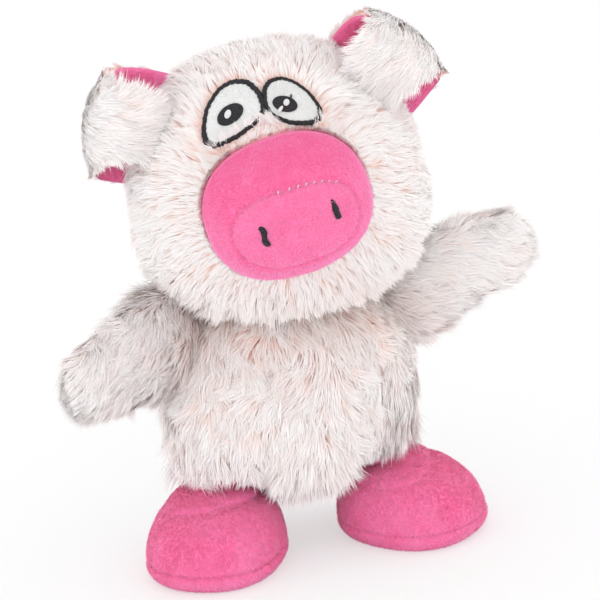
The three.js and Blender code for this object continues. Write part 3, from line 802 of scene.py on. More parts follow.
@dataclass
class Snout:
    """The domed snout: a side band and a front that meet in a drawn-in seam.

    With T the share of its length from 0 at the root to 1 at the tip, its superellipse sections have the half
    width W (1 - T^3)^(1/3) and the half height H (1 - T^2.2)^(1/2.2). It is rolled about its own axis.
    """

    half_width: float = 35.2
    half_height: float = 29.5
    root: float = 48.0
    length: float = 46.0
    taper: tuple[float, float] = (3.0, 2.2)
    box: float = 2.3
    seam: float = 0.844
    seam_waves: tuple[tuple[float, float], ...] = ((0.056, -0.012), (0.013, -0.013))
    roll: float = 8.0
    groove: float = 0.9
    nostril_side: float = 15.5
    nostril_shift: float = 2.0
    nostril_drop: float = 1.0
    nostril_half: float = 4.7
    nostril_lean: float = 1.0
    stitches: tuple[float, float, int] = (31.0, 94.0, 8)
    stitch_half: float = 0.85
    stitch_thick: float = 0.34
    nap_count: int = 36000
    rim_count: int = 5200
    rim_lay: Lay = Lay(5.0, 0.42, blush=0.1, lift=0.9, tuck=0.25, sag=0.0, stray=0.6, locks=((30, 0.2), (7, 0.3)))

    def spans(self, share: Array) -> tuple[Array, Array]:
        """Half the width and half the height at a share of the length."""
        wide, high = self.taper
        width = self.half_width * (1 - share**wide) ** (1 / wide)
        height = self.half_height * (1 - share**high) ** (1 / high)
        return width, height

    def point(self, share: Array, angle: Array, rise: Array | float = 0.0) -> Array:
        """Points of the dome in the head's frame, raised off it by some millimetres."""
        width, height = self.spans(share)
        power = 2 / self.box
        c, s = np.cos(angle), np.sin(angle)
        x = np.sign(c) * np.abs(c) ** power * (width + rise)
        z = np.sign(s) * np.abs(s) ** power * (height + rise)
        y = -(self.root + share * (self.length + rise))
        flat = np.stack(np.broadcast_arrays(x, y, z), -1)
        return flat @ turn((0, 1, 0), -self.roll).T

    def face(self, x: Array, z: Array, rise: Array | float = 0.0) -> Array:
        """Points of the front over its own level x and z, found by halving the share of the length."""
        low, high = np.zeros(x.shape), np.ones(x.shape)
        for _ in range(HALVINGS):
            middle = (low + high) / 2
            width, height = self.spans(middle)
            across = np.abs(x / np.maximum(width, 1e-6)) ** self.box
            up = np.abs(z / np.maximum(height, 1e-6)) ** self.box
            inside = across + up < 1
            low, high = np.where(inside, middle, low), np.where(inside, high, middle)
        flat = np.stack([x, -(self.root + low * self.length) - rise, z], -1)
        return flat @ turn((0, 1, 0), -self.roll).T

    def seam_share(self, angle: Array) -> Array:
        """The seam's share of the length, further out over the top: a mean, and sines and cosines of the angle."""
        return self.seam + sum(
            up * np.sin(turns * angle) + across * np.cos(turns * angle)
            for turns, (up, across) in enumerate(self.seam_waves, 1)
        )

    def tuck(self, share: Array, angle: Array) -> Array:
        """How far the seam draws the cloth in: a narrow bell about the seam's share, and a faint swell beside it."""
        away = (share - self.seam_share(angle)) / 0.02
        return -self.groove * np.exp(-(away**2)) + 0.3 * np.exp(-((np.abs(away) - 3.6) ** 2) / 7)

    def cloth(self, slope: Array, angle: Array) -> Array:
        """Points of the sewn dome, the slope from 0 at the root to a quarter turn at the tip."""
        share = np.sin(np.clip(slope, 0, math.pi / 2)) ** (2 / self.taper[0])
        return self.point(share, angle, self.tuck(share, angle))

    def covers(self, points: Array, margin: float) -> Array:
        """Which points of the head's frame lie behind the snout's root, grown by a margin."""
        own = points @ turn((0, 1, 0), -self.roll)
        across = np.abs(own[..., 0] / (self.half_width + margin)) ** self.box
        up = np.abs(own[..., 2] / (self.half_height + margin)) ** self.box
        return (across + up < 1) & (own[..., 1] < 0)

    def build(self, place: Place) -> None:
        """Makes the band, the front, their nap, the seam's stitches and the nostrils."""
        angle = np.arange(120) / 120 * 2 * math.pi
        seam = self.seam_share(angle)[None]
        out = np.linspace(0, 1, 44)[:, None] ** 0.7
        ahead = np.linspace(0, 1, 40)[:, None] ** 1.6
        for word, share, nodes in (
            ("band", out * seam, ("band", "fill")),
            ("front", 0.9995 - (1 - ahead) * (0.9975 - seam), ("front",)),
        ):
            grid = self.point(share, angle[None], self.tuck(share, angle[None]))
            grid = grid + self.pucker(grid, share)
            mesh = closed_grid(f"snout_{word}_skin", place.out(grid), flip=True)
            make_skin(f"snout_{word}_skin", "head", MINKY, mesh, 0.9, *[f"snout_{node}" for node in nodes])
        self.build_nap(place)
        self.build_stitches(place)
        self.build_nostrils(place)
        self.build_rim(place)

    def build_rim(self, place: Place) -> None:
        """Long fibres of the face that lap over the snout's root."""
        rng = np.random.default_rng(34)
        angle = rng.uniform(0, 2 * math.pi, self.rim_count)
        share = 0.005 + 0.1 * rng.uniform(0, 1, len(angle)) ** 1.6
        base = self.point(share, angle, 0.2)
        ahead = self.point(share + 0.01, angle, 0.2) - base
        out = unit(np.cross(self.point(share, angle + 0.01, 0.2) - base, ahead))
        out = out * np.sign(dot(out, base - np.array([0, -self.root, 0])))
        flow = unit(ahead) + 0.5 * drift(base, 9, 35)[:, None] * np.cross(out, unit(ahead))
        grow(
            "snout_rim_pile", "head", LONG_FIBRE, self.rim_lay, place.out(base), place.along(out),
            place.along(flow), np.full(len(base), 0.05), rng.uniform(0.4, 1.1, len(base)), 36,
        )

    def pucker(self, grid: Array, shares: Array) -> Array:
        """Small soft dents of the stuffed cloth, along the length of the snout, fading towards the root."""
        depth = 0.35 * drift(grid, 13, 5) * smooth(shares, 0.2, 0.7)
        return unit(grid - np.array([0, -self.root, 0])) * depth[..., None]

    def build_nap(self, place: Place) -> None:
        """The snout's short pile, stroked away from the tip and a little down."""
        count = self.nap_count
        slope, angle = scatter(self.cloth, (0.1, math.pi / 2 - 0.001), (0, 2 * math.pi), count, 31)
        base, back, normals = tangents(self.cloth, slope, angle, (-0.004, 0.006))
        share = np.sin(slope) ** (2 / self.taper[0])
        base = base + self.pucker(base, share)
        normals = normals * np.sign(dot(normals, base - np.array([0, -self.root, 0])))
        flow = unit(back) + 0.5 * DOWN
        band = 1 - smooth(share - self.seam_share(angle), -0.02, 0.0)
        top = smooth(np.sin(angle), -0.1, 0.7)
        # Random tone, and painted shade: a deeper pink over the upper side of the band.
        tone = 0.12 + 0.22 * drift(base, 16, 8) + 0.16 * drift(base, 3.5, 9) + 0.62 * band * top
        tone = np.clip(tone + np.random.default_rng(33).normal(0, 0.12, count), 0, 1)
        grow(
            "snout_nap", "head", PINK_FIBRE, NAP, place.out(base), place.along(normals), place.along(flow), tone,
            np.ones(count), 32,
        )

    def build_stitches(self, place: Place) -> None:
        """White stitches over the top of the seam, each a small bean across it."""
        low, high, count = self.stitches
        around = np.arange(10) / 10 * 2 * math.pi
        along = np.linspace(-1, 1, 9)[1:-1, None, None]
        thick = self.stitch_thick * np.sqrt(1 - along**2)
        beans = []
        for angle in np.radians(np.linspace(low, high, count)):
            share = self.seam_share(angle)
            centre = self.point(share, angle, -0.1)
            across = unit(self.point(share + 0.01, angle) - self.point(share - 0.01, angle))
            beside = unit(self.point(self.seam_share(angle + 0.02), angle + 0.02) - self.point(share, angle))
            section = np.cos(around)[:, None] * beside + np.sin(around)[:, None] * np.cross(beside, across)
            middle = centre + self.stitch_half * along * unit(across + 0.35 * beside)
            beans.append(closed_arrays(place.out(middle + thick * section)))
        points, loops, sizes = (np.stack(each) for each in zip(*beans))
        loops = loops + np.arange(count)[:, None] * points.shape[1]
        mesh = mesh_from("snout_stitches", points.reshape(-1, 3), loops.ravel(), sizes.ravel())
        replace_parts(make_piece("snout_stitches", "head", WHITE_THREAD, mesh), "snout_seam_thread")

    def build_nostrils(self, place: Place) -> None:
        """Each nostril is a bar of satin stitch: a rounded pad over the front, ridged across its length."""
        along = np.linspace(-1, 1, 40)
        across = np.arange(16) / 16 * 2 * math.pi
        taper = (1 - np.abs(along) ** 6) ** 0.5
        ridge = 1 + 0.10 * np.sin(along * 34)
        lean = math.radians(self.nostril_lean)
        for side, bends, widen, higher in ((Side.LEFT, 0.4, 0.0, 0.0), (Side.RIGHT, 0.12, 0.28, 0.5)):
            middle = self.nostril_shift + side.value * self.nostril_side
            half = (1.3 + 0.14 * np.sin(along * 5 + side.value) - widen * along) * taper * ridge
            kink = bends * np.sin(along * 4.2)
            x = middle - math.sin(lean) * self.nostril_half * along + kink
            z = higher - self.nostril_drop + math.cos(lean) * self.nostril_half * along
            gx = x[:, None] + half[:, None] * np.cos(across)[None]
            gz = np.broadcast_to(z[:, None], gx.shape)
            rise = 0.25 + 0.95 * (taper * ridge)[:, None] * np.sin(across)[None]
            mesh = closed_grid(f"nostril_{side.word}_stitch", place.out(self.face(gx, gz, rise)))
            bar = make_piece(f"nostril_{side.word}_stitch", "head", BLACK_THREAD, mesh)
            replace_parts(bar, f"nostril_{side.word}")


@dataclass(frozen=True)
class Oval:
    """An oval on the brow: its middle, its half sizes in millimetres, and its tilt in degrees."""

    x: float
    y: float
    long: float
    short: float
    tilt: float

    def outline(self, count: int) -> Array:
        """Points round the oval."""
        angle = np.arange(count) / count * 2 * math.pi
        flat = np.stack([self.long * np.cos(angle), self.short * np.sin(angle)], -1)
        lean = math.radians(self.tilt)
        spin = np.array([[math.cos(lean), -math.sin(lean)], [math.sin(lean), math.cos(lean)]])
        return flat @ spin.T + np.array([self.x, self.y])


def loop_through(corners: tuple, count: int) -> Array:
    """A smooth closed outline through corner points: a Catmull-Rom curve, count points between each two."""
    corners = np.array(corners, dtype=float)
    share = np.arange(count)[:, None] / count
    before, here = np.roll(corners, 1, axis=0)[:, None], corners[:, None]
    after, beyond = np.roll(corners, -1, axis=0)[:, None], np.roll(corners, -2, axis=0)[:, None]
    curve = 0.5 * (
        2 * here
        + (after - before) * share
        + (2 * before - 5 * here + 4 * after - beyond) * share**2
        + (3 * here - before - 3 * after + beyond) * share**3
    )
    return curve.reshape(-1, 2)


@dataclass
class Eyes:
    """The stitched eyes: felt in black satin borders, black pupils and white glints, all lying on the brow."""

    bag: Bag
    latitude: float = 39.6
    shift: float = -1.9
    border: float = 0.83
    outlines: dict = field(
        default_factory=lambda: {
            Side.LEFT: (
                (-26.4, -5.5), (-22.6, 7), (-13.3, 16), (-3.6, 15.2),
                (1.6, 6.5), (0.6, -3.5), (-11, -9.8), (-22.5, -10.8),
            ),
            Side.RIGHT: (
                (1.8, 6.5), (5.5, 12.2), (12.5, 12.2), (20, 5.4),
                (24.4, -4.5), (21.5, -10.2), (11, -9.8), (2.3, -3.5),
            ),
        }
    )
    pupils: dict = field(
        default_factory=lambda: {Side.LEFT: Oval(-12.9, 0.6, 5.9, 4.1, 21), Side.RIGHT: Oval(9.8, -0.6, 5.2, 3.5, -25)}
    )
    glints: dict = field(
        default_factory=lambda: {Side.LEFT: Oval(-13.7, 0.6, 1.9, 1.3, 60), Side.RIGHT: Oval(10.4, -0.4, 1.5, 1.2, 60)}
    )
    tick: Oval = Oval(12.9, 2.2, 1.3, 0.35, 75)
    streak: Oval = Oval(7.3, -3.0, 1.9, 0.7, 45)
    wisps: tuple = (
        (430, (-22.0, -12.4), (0.5, -6.8)),
        (110, (1.8, -6.0), (6.8, -10.0)),
        (60, (19.0, -12.2), (24.5, -9.5)),
    )
    wisp_lay: Lay = Lay(7.0, 0.3, blush=0.1, lift=0.95, tuck=0.3, sag=0.0, stray=0.45, locks=((40, 0.2), (8, 0.5)))
    felt_count: int = 9000
    felt_lay: Lay = Lay(0.9, 0.2, blush=0.3, lift=0.8, tuck=0.3, sag=0.0, stray=0.8, locks=((6, 0.1),), segments=2)

    def brow(self) -> tuple[Array, Array, Array]:
        """The brow plane's middle, its upward direction and its outward normal, in the head's frame."""
        angle = math.radians(self.latitude)
        normal = unit(np.array([0, -math.cos(angle) / self.bag.half_y, math.sin(angle) / self.bag.rise]))
        up = np.cross(normal, np.array([1.0, 0, 0]))
        middle = np.array([self.shift, -self.bag.half_y * math.cos(angle), self.bag.rise * math.sin(angle)])
        return middle, up, normal

    def raised(self, flat: Array, rise: Array | float) -> Array:
        """Points over the brow plane's x and y, dropped square on to the head and raised off it."""
        middle, up, normal = self.brow()
        start = middle + flat[..., :1] * np.array([1.0, 0, 0]) + flat[..., 1:] * up
        found = self.bag.reach(start, np.broadcast_to(normal, start.shape), -25.0, 25.0)
        return found + np.asarray(rise)[..., None] * self.bag.normal(found)

    def ring(self, points: Array, wide: float, high: float) -> Array:
        """How far head points are from the middle of both eyes: 1 on the oval with the given half sizes."""
        middle, up, _ = self.brow()
        x = (points - middle)[..., 0] + 1.0
        y = (points - middle) @ up - 1.8
        return np.hypot(x / wide, y / high)

    def near(self, points: Array) -> Array:
        """How near head points are to the eyes: 1 under them, falling to 0 about 6 mm outside them."""
        return np.where(points[..., 1] < 0, 1 - smooth(self.ring(points, 29, 17), 0.95, 1.3), 0)

    def inside(self, points: Array, share: float) -> Array:
        """Which head points lie under either outline, scaled about its middle."""
        middle, up, _ = self.brow()
        flat = np.stack([(points - middle)[..., 0], (points - middle) @ up], -1)
        found = np.zeros(len(points), dtype=bool)
        for corners in self.outlines.values():
            loop = loop_through(corners, 6)
            loop = (loop - loop.mean(0)) * share + loop.mean(0)
            after = np.roll(loop, -1, axis=0)
            spans = (loop[None, :, 1] > flat[:, None, 1]) != (after[None, :, 1] > flat[:, None, 1])
            rise = after[:, 1] - loop[:, 1]
            rise = np.where(np.abs(rise) < 1e-9, 1e-9, rise)
            at = loop[:, 0] + (flat[:, None, 1] - loop[:, 1]) / rise * (after[:, 0] - loop[:, 0])
            found |= ((spans & (flat[:, None, 0] < at)).sum(1) % 2 == 1) & (points[:, 1] < 0)
        return found

    def pad(self, outline: Array, low: float, high: float) -> Array:
        """A flat pad's rings: out along its underside, over a rounded edge, and back in along its top."""
        middle = outline.mean(0)
        share = np.concatenate([np.linspace(0.1, 0.96, 7), [1.0], 0.97 * np.linspace(1, 0.08, 9)])
        rise = np.concatenate([np.full(7, low), [(low + high) / 2], np.full(9, high)])
        flat = middle + share[:, None, None] * (outline - middle)[None]
        return self.raised(flat, np.broadcast_to(rise[:, None], flat.shape[:2]))

    def band(self, outline: Array, low: float, high: float) -> Array:
        """A satin border's cross-sections round an outline, each an arch between the border's two edges."""
        middle = outline.mean(0)
        around = np.arange(14) / 14 * 2 * math.pi
        half = (1 - self.border) / 2
        step = np.arange(len(outline))
        rough = 0.012 * np.sin(step * 1.9) + 0.010 * np.sin(step * 0.83) + 0.006 * np.sin(step * 0.31)
        share = (1 - half + rough)[:, None] + half * np.cos(around)[None]
        rise = low + (high - low) * (0.5 + 0.5 * np.sin(around))[None] + 0 * share
        flat = middle + share[..., None] * (outline - middle)[:, None]
        return self.raised(flat, rise)

    def build(self, place: Place) -> None:
        """Makes both eyes."""
        for side in Side:
            word = side.word
            outline = loop_through(self.outlines[side][::-1], 28)
            felt = (outline - outline.mean(0)) * 0.9 + outline.mean(0)
            self.piece(f"eye_felt_{word}", FELT, place, self.pad(felt, 0.0, 1.4), f"eye_patch_{word}")
            self.build_felt_nap(side, outline, place)
            mesh = tube_grid(f"eye_border_{word}", place.out(self.band(outline, 0.1, 2.3)))
            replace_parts(make_piece(f"eye_border_{word}", "head", BLACK_THREAD, mesh), f"eye_outline_{word}")
            pupil = self.pad(self.pupils[side].outline(48), 1.3, 2.3)
            self.piece(f"pupil_{word}_stitch", BLACK_THREAD, place, pupil, f"pupil_{word}")
            glint = self.pad(self.glints[side].outline(24), 2.25, 2.9)
            self.piece(f"glint_{word}_stitch", WHITE_THREAD, place, glint, f"glint_{word}")
        self.piece("pupil_tick", BLACK_THREAD, place, self.pad(self.tick.outline(20), 1.4, 2.2))
        self.piece("pupil_streak", WHITE_THREAD, place, self.pad(self.streak.outline(24), 2.2, 2.75))
        self.build_wisps(place)

    def build_felt_nap(self, side: Side, outline: Array, place: Place) -> None:
        """The short matted fibres of an eye's felt, out to its border."""
        rng = np.random.default_rng(81 + side.value)
        count = self.felt_count
        reach = 0.88 * np.sqrt(rng.uniform(0, 1, (count, 1)))
        middle = outline.mean(0)
        flat = middle + reach * (outline[rng.integers(0, len(outline), count)] - middle)
        roots = self.raised(flat + rng.normal(0, 0.15, flat.shape), 1.35)
        normals = self.bag.normal(roots)
        flow = rng.normal(0, 1, roots.shape)
        tone = np.clip(0.3 + 0.3 * drift(roots, 3, 82), 0, 1)
        grow(
            f"eye_felt_nap_{side.word}", "head", FELT_FIBRE, self.felt_lay, place.out(roots), place.along(normals),
            place.along(flow), tone, np.ones(count), 83 + side.value,
        )

    def build_wisps(self, place: Place) -> None:
        """A few fibres combed up over the lower borders of the eyes."""
        rng = np.random.default_rng(17)
        groups = []
        for count, first, last in self.wisps:
            share = rng.uniform(0, 1, (count, 1))
            groups.append(np.array(first) * (1 - share) + np.array(last) * share + rng.normal(0, 0.6, (count, 2)))
        flat = np.concatenate(groups)
        roots = self.raised(flat, 0.2)
        _, up, _ = self.brow()
        flow = up + np.array([0.25, 0, 0]) * drift(roots, 8, 18)[:, None]
        grow(
            "brow_wisps", "head", LONG_FIBRE, self.wisp_lay, place.out(roots), place.along(self.bag.normal(roots)),
            place.along(flow), np.full(len(flat), 0.04), rng.uniform(0.7, 1.1, len(flat)), 19,
        )

    def piece(self, name: str, finish: Finish, place: Place, rings: Array, node: str = "") -> None:
        """Makes one pad of an eye, which stands for a node where one is named."""
        made = make_piece(name, "head", finish, closed_grid(name, place.out(rings)))
        if node:
            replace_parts(made, node)


@dataclass
class Ear:
    """A curled ear: a sheet of long pile lined with short pile, bent forward round its fold.

    Its middle surface runs straight out from the head for the stem, then round an arc. Its half length along the
    fold is full in the middle of the sheet and shorter at the root and at the free edge.
    """

    side: Side
    place: float
    aim: float
    back: float = 5.0
    half_length: float = 25.0
    end_share: float = 0.9
    tip_cut: float = 0.55
    tip_power: float = 2.0
    stem: float = 1.5
    radius: float = 15.0
    turned: float = 200.0
    inside: float = 12.0
    puff: float = 4.6
    heel: float = 0.2
    corner: float = 0.32
    nap_count: int = 6500
    pile_count: int = 18000
    pile_lay: Lay = Lay(13.0, 0.5, lift=0.34, tuck=0.12, sag=0.0, stray=0.32, curl=0.3, locks=((150, 0.12), (22, 0.25)))

    def frame(self, bag: Bag) -> tuple[Array, Array, Array, Array]:
        """Outward, fold and front directions and the root's middle, in the head's frame."""
        aim, seat = math.radians(self.aim), math.radians(self.place)
        out = np.array([self.side.value * math.cos(aim), 0, math.sin(aim)])
        fold = np.array([self.side.value * math.sin(aim), 0, -math.cos(aim)])
        reach = 1 / math.hypot(math.cos(seat) / bag.half_x, math.sin(seat) / bag.rise)
        root = np.array([self.side.value * reach * math.cos(seat), self.back, reach * math.sin(seat)])
        return out, fold, np.array([0.0, -1, 0]), root

    def point(self, bag: Bag, share: Array, across: Array, offset: Array | float) -> Array:
        """Points of the sheet.

        Args:
            bag: the head's bag.
            share: 0 inside the head to 1 at the free edge.
            across: -1 to 1 along the fold.
            offset: millimetres off the middle surface, above 0 on the outer side.
        Returns:
            The points, in the head's frame.
        """
        run = share * (self.length() + self.inside) - self.inside
        return self.bent(bag, run, self.beside(share, across), offset)

    def length(self) -> float:
        """The sheet's length from the root to the free edge."""
        return self.stem + self.radius * math.radians(self.turned)

    def half(self, share: Array) -> Array:
        """The sheet's half length along the fold."""
        held = np.clip(share, 0, 1)
        swell = self.end_share + (1 - self.end_share) * np.sin(math.pi * held)
        return self.half_length * swell * (1 - self.tip_cut * held**self.tip_power)

    def beside(self, share: Array, across: Array) -> Array:
        """Millimetres along the fold: its lower end reaches further at the back, and is turned up at the free edge."""
        free = smooth(share, 0.5, 0.85)
        low = np.clip(across, 0, 1)
        return across * self.half(share) * (1 + low * (self.heel * (1 - free) - self.corner * free))

    def bent(self, bag: Bag, run: Array, along: Array, offset: Array | float) -> Array:
        """Points from the flat sheet, its run from the root, its place along the fold and its height, bent round."""
        out, fold, front, root = self.frame(bag)
        share = (run + self.inside) / (self.length() + self.inside)
        angle = np.maximum(0, run - self.stem) / self.radius
        far = np.minimum(run, self.stem) + (self.radius + offset) * np.sin(angle)
        droop = 1.2 * np.sin(along / self.half(share) * 2.2 + share * 3)
        forward = self.radius - (self.radius + offset) * np.cos(angle) + droop
        return root + (far + 0 * along)[..., None] * out + forward[..., None] * front + along[..., None] * fold

    def bulge(self, share: Array, across: Array) -> Array:
        """How far the stuffing swells the outer side, in millimetres, over the middle of the fold."""
        return self.puff * np.clip(1 - across**2, 0, 1) * smooth(share, 0.15, 0.4) * (1 - smooth(share, 0.75, 1))

    def sheet(self, bag: Bag, low: float, high: float, widen: float) -> Array:
        """Rings round the sheet's section, from the root to the free edge, with round sides."""
        share = np.linspace(0, 1, 46)
        bow = np.linspace(-1, 1, 25)
        across = np.concatenate([bow, bow[::-1]]) * widen
        middle, half = (low + high) / 2, (high - low) / 2
        thick = np.sqrt(np.clip(1 - np.abs(bow) ** 8, 0, 1)) * half
        offset = np.concatenate([middle - thick, middle + thick[::-1]])[None]
        swell = np.where(offset > 0, self.bulge(share[:, None], across[None]), 0)
        offset = offset + swell * np.sqrt(np.clip(offset / high, 0, 1))
        return self.point(bag, share[:, None], across[None], offset)

    def build(self, bag: Bag, place: Place) -> None:
        """Makes the backing, the lining, the long pile and the lining's nap."""
        body = f"ear_{self.side.word}"
        for word, finish, low, high, widen, node in (
            ("skin", BACKING, 0.2, 2.2, 0.96, "fur"),
            ("inner", MINKY, -2.2, -0.2, 1.0, "lining"),
        ):
            grid = place.out(self.sheet(bag, low, high, widen))
            mesh = closed_grid(f"{body}_{word}", grid, flip=self.side is Side.LEFT)
            make_skin(f"{body}_{word}", body, finish, mesh, 0.3, f"{body}_{node}")
        self.build_pile(body, bag, place, 40 + self.side.value)
        self.build_nap(body, bag, place, 50 + self.side.value)

    def spots(self, bag: Bag, count: int, seed: int, offset: float) -> tuple[Array, Array, Array, Array, Array]:
        """Random places on one side of the sheet, with their normals, the curl's direction and their parameters."""

        def surface(share: Array, across: Array) -> Array:
            return self.point(bag, share, across, offset)

        share, across = scatter(surface, (0.12, 1), (-0.97, 0.97), count, seed)
        base, ahead, normals = tangents(surface, share, across, (0.01, 0.01))
        outer = self.point(bag, share, across, offset + 0.1 * np.sign(offset))
        normals = normals * np.sign(dot(normals, outer - base))
        return base, normals, unit(ahead), share, across

    def build_pile(self, body: str, bag: Bag, place: Place, seed: int) -> None:
        """Long pile on the outer side, combed along the curl, and over the front flap also towards its ends."""
        base, normals, _, share, across = self.spots(bag, self.pile_count, seed, 2.0)
        front = smooth(share, 0.45, 0.8)
        end = smooth(np.abs(across), 0.35, 1.0)
        spread = across * (0.1 + 1.0 * front * end) + 0.25 * drift(base, 16, 7)
        flow = np.stack([1.0 - 0.4 * front * end, spread, 0 * share], -1)
        run = share * (self.length() + self.inside) - self.inside
        flat = np.stack([run, self.beside(share, across), 0 * share], -1)
        reach = (0.8 + 0.35 * front) * (1 - (0.5 - 0.2 * front) * end) * (1 - 0.3 * front * smooth(across, 0.5, 0.9))
        tone = np.clip(0.04 + 0.12 * drift(base, 14, 3), 0, 1)
        up = np.broadcast_to([0.0, 0.0, 1.0], flat.shape)

        def bend(path: Array) -> Array:
            at = (path[..., 0] + self.inside) / (self.length() + self.inside)
            bulge = self.bulge(at, path[..., 1] / self.half(at))
            return place.out(self.bent(bag, path[..., 0], path[..., 1], 2.0 + bulge + path[..., 2]))

        grow(
            f"{body}_pile", body, LONG_FIBRE, self.pile_lay, flat, up, flow, tone, reach, seed,
            rest=bend, facing=place.along(normals),
        )

    def build_nap(self, body: str, bag: Bag, place: Place, seed: int) -> None:
        """Short pile on the lining."""
        base, normals, ahead, _, _ = self.spots(bag, self.nap_count, seed, -2.2)
        tone = np.clip(0.5 + 0.3 * drift(base, 12, 4), 0, 1)
        grow(
            f"{body}_nap", body, PINK_FIBRE, NAP, place.out(base), place.along(normals), place.along(ahead), tone,
            np.ones(self.nap_count), seed,
        )


@dataclass
class Head:
    """The stuffed head with its snout, eyes and ears."""

    bag: Bag = Bag(66.0, 60.0, 63.0, 57.0, 0.09, 2.3)
    forward: float = 4.0
    above_neck: float = 52.0
    turned: tuple[float, float, float] = (-4.0, -6.0, -9.5)
    pile_inset: float = 3.0
    pile_count: int = 122000
    pile_lay: Lay = Lay(15.0, 0.46, lift=0.36, tuck=0.06, sag=0.1, stray=0.24, locks=((110, 0.14), (18, 0.3)))
    snout: Snout = field(default_factory=Snout)
    ears: tuple[Ear, Ear] = (Ear(Side.LEFT, place=35.0, aim=20.0), Ear(Side.RIGHT, place=36.0, aim=40.0, heel=0.1))

    def place(self) -> Place:
        """The head's frame: nodded, then cocked, then turned, over the neck."""
        nod, cock, heading = self.turned
        spin = turn((0, 0, 1), heading) @ turn((0, 1, 0), cock) @ turn((1, 0, 0), nod)
        return Place(spin, pivot("neck") + np.array([0, -self.forward, self.above_neck]))

    def obstacle(self) -> Obstacle:
        """The head as the torso and the arms must clear it, over the neck's whole range."""
        return Obstacle(self.bag, self.place(), "neck", (-12.0, -6.0, 0.0, 4.0, 8.0), back=1.0)

    def skin(self, points: Array, eyes: Eyes) -> Array:
        """Skin points drawn in under the long pile, but not under the eyes."""
        inset = self.pile_inset * (1 - eyes.near(points)) + 0.2
        return points - inset[..., None] * self.bag.normal(points)

    def build(self) -> None:
        """Makes the head and all that is on it."""
        place = self.place()
        eyes = Eyes(self.bag)
        mesh = closed_grid("head_skin", place.out(self.skin(self.bag.grid(72, 128), eyes)))
        make_skin("head_skin", "head", BACKING, mesh, 0.9, "head_cover", "head_fill")
        self.build_pile(place, eyes)
        self.snout.build(place)
        eyes.build(place)
        for ear in self.ears:
            ear.build(self.bag, place)

    def build_pile(self, place: Place, eyes: Eyes) -> None:
        """Long pile, combed away from the snout over the face and down over the back, short round the features."""
        base = self.bag.scatter(self.pile_count, 11)
        keep = ~self.snout.covers(base, -1.0) & ~eyes.inside(base, 1.01)
        base = base[keep]
        normals = self.bag.normal(base)
        front = smooth(-base[:, 1], -25, 25)[:, None]
        radial = unit(base * np.array([1.0, 0, 1.0]))
        flow = radial * (0.35 + front) + np.array([0, 1.0, 0]) * (1.1 - front * 0.7) + DOWN * (0.75 - 0.55 * front)
        sway = drift(base, 26, 12)[:, None]
        flow = flow + 0.35 * sway * np.cross(normals, unit(flow))
        own = base @ turn((0, 1, 0), -self.snout.roll)
        ring = np.hypot(own[:, 0] / self.snout.half_width, own[:, 2] / self.snout.half_height)
        by_snout = smooth(ring, 1.0, 1.9) * front[:, 0] + (1 - front[:, 0])
        by_eyes = np.where(base[:, 1] < 0, smooth(eyes.ring(base, 28, 15), 0.8, 1.7), 1)
        low = smooth(-base[:, 2], 15, 55)
        reach = 0.42 + 0.58 * np.minimum(by_snout, by_eyes) + 0.25 * low
        roots = self.skin(base, eyes)
        # Random tone, and painted shade: the lower part of the head, underneath, is coloured warmer.
        tone = np.clip(0.06 + 0.12 * drift(base, 22, 13) + 0.3 * low, 0, 1)
        facing, high = base[:, 1] < -14, base[:, 2] > 4
        for word, chosen, seed in (("face", facing, 14), ("crown", ~facing & high, 15), ("nape", ~facing & ~high, 16)):
            grow(
                f"head_pile_{word}", "head", LONG_FIBRE, self.pile_lay, place.out(roots[chosen]),
                place.along(normals[chosen]), place.along(flow[chosen]), tone[chosen], reach[chosen], seed,
                0.7 * low[chosen],
            )


# Torso


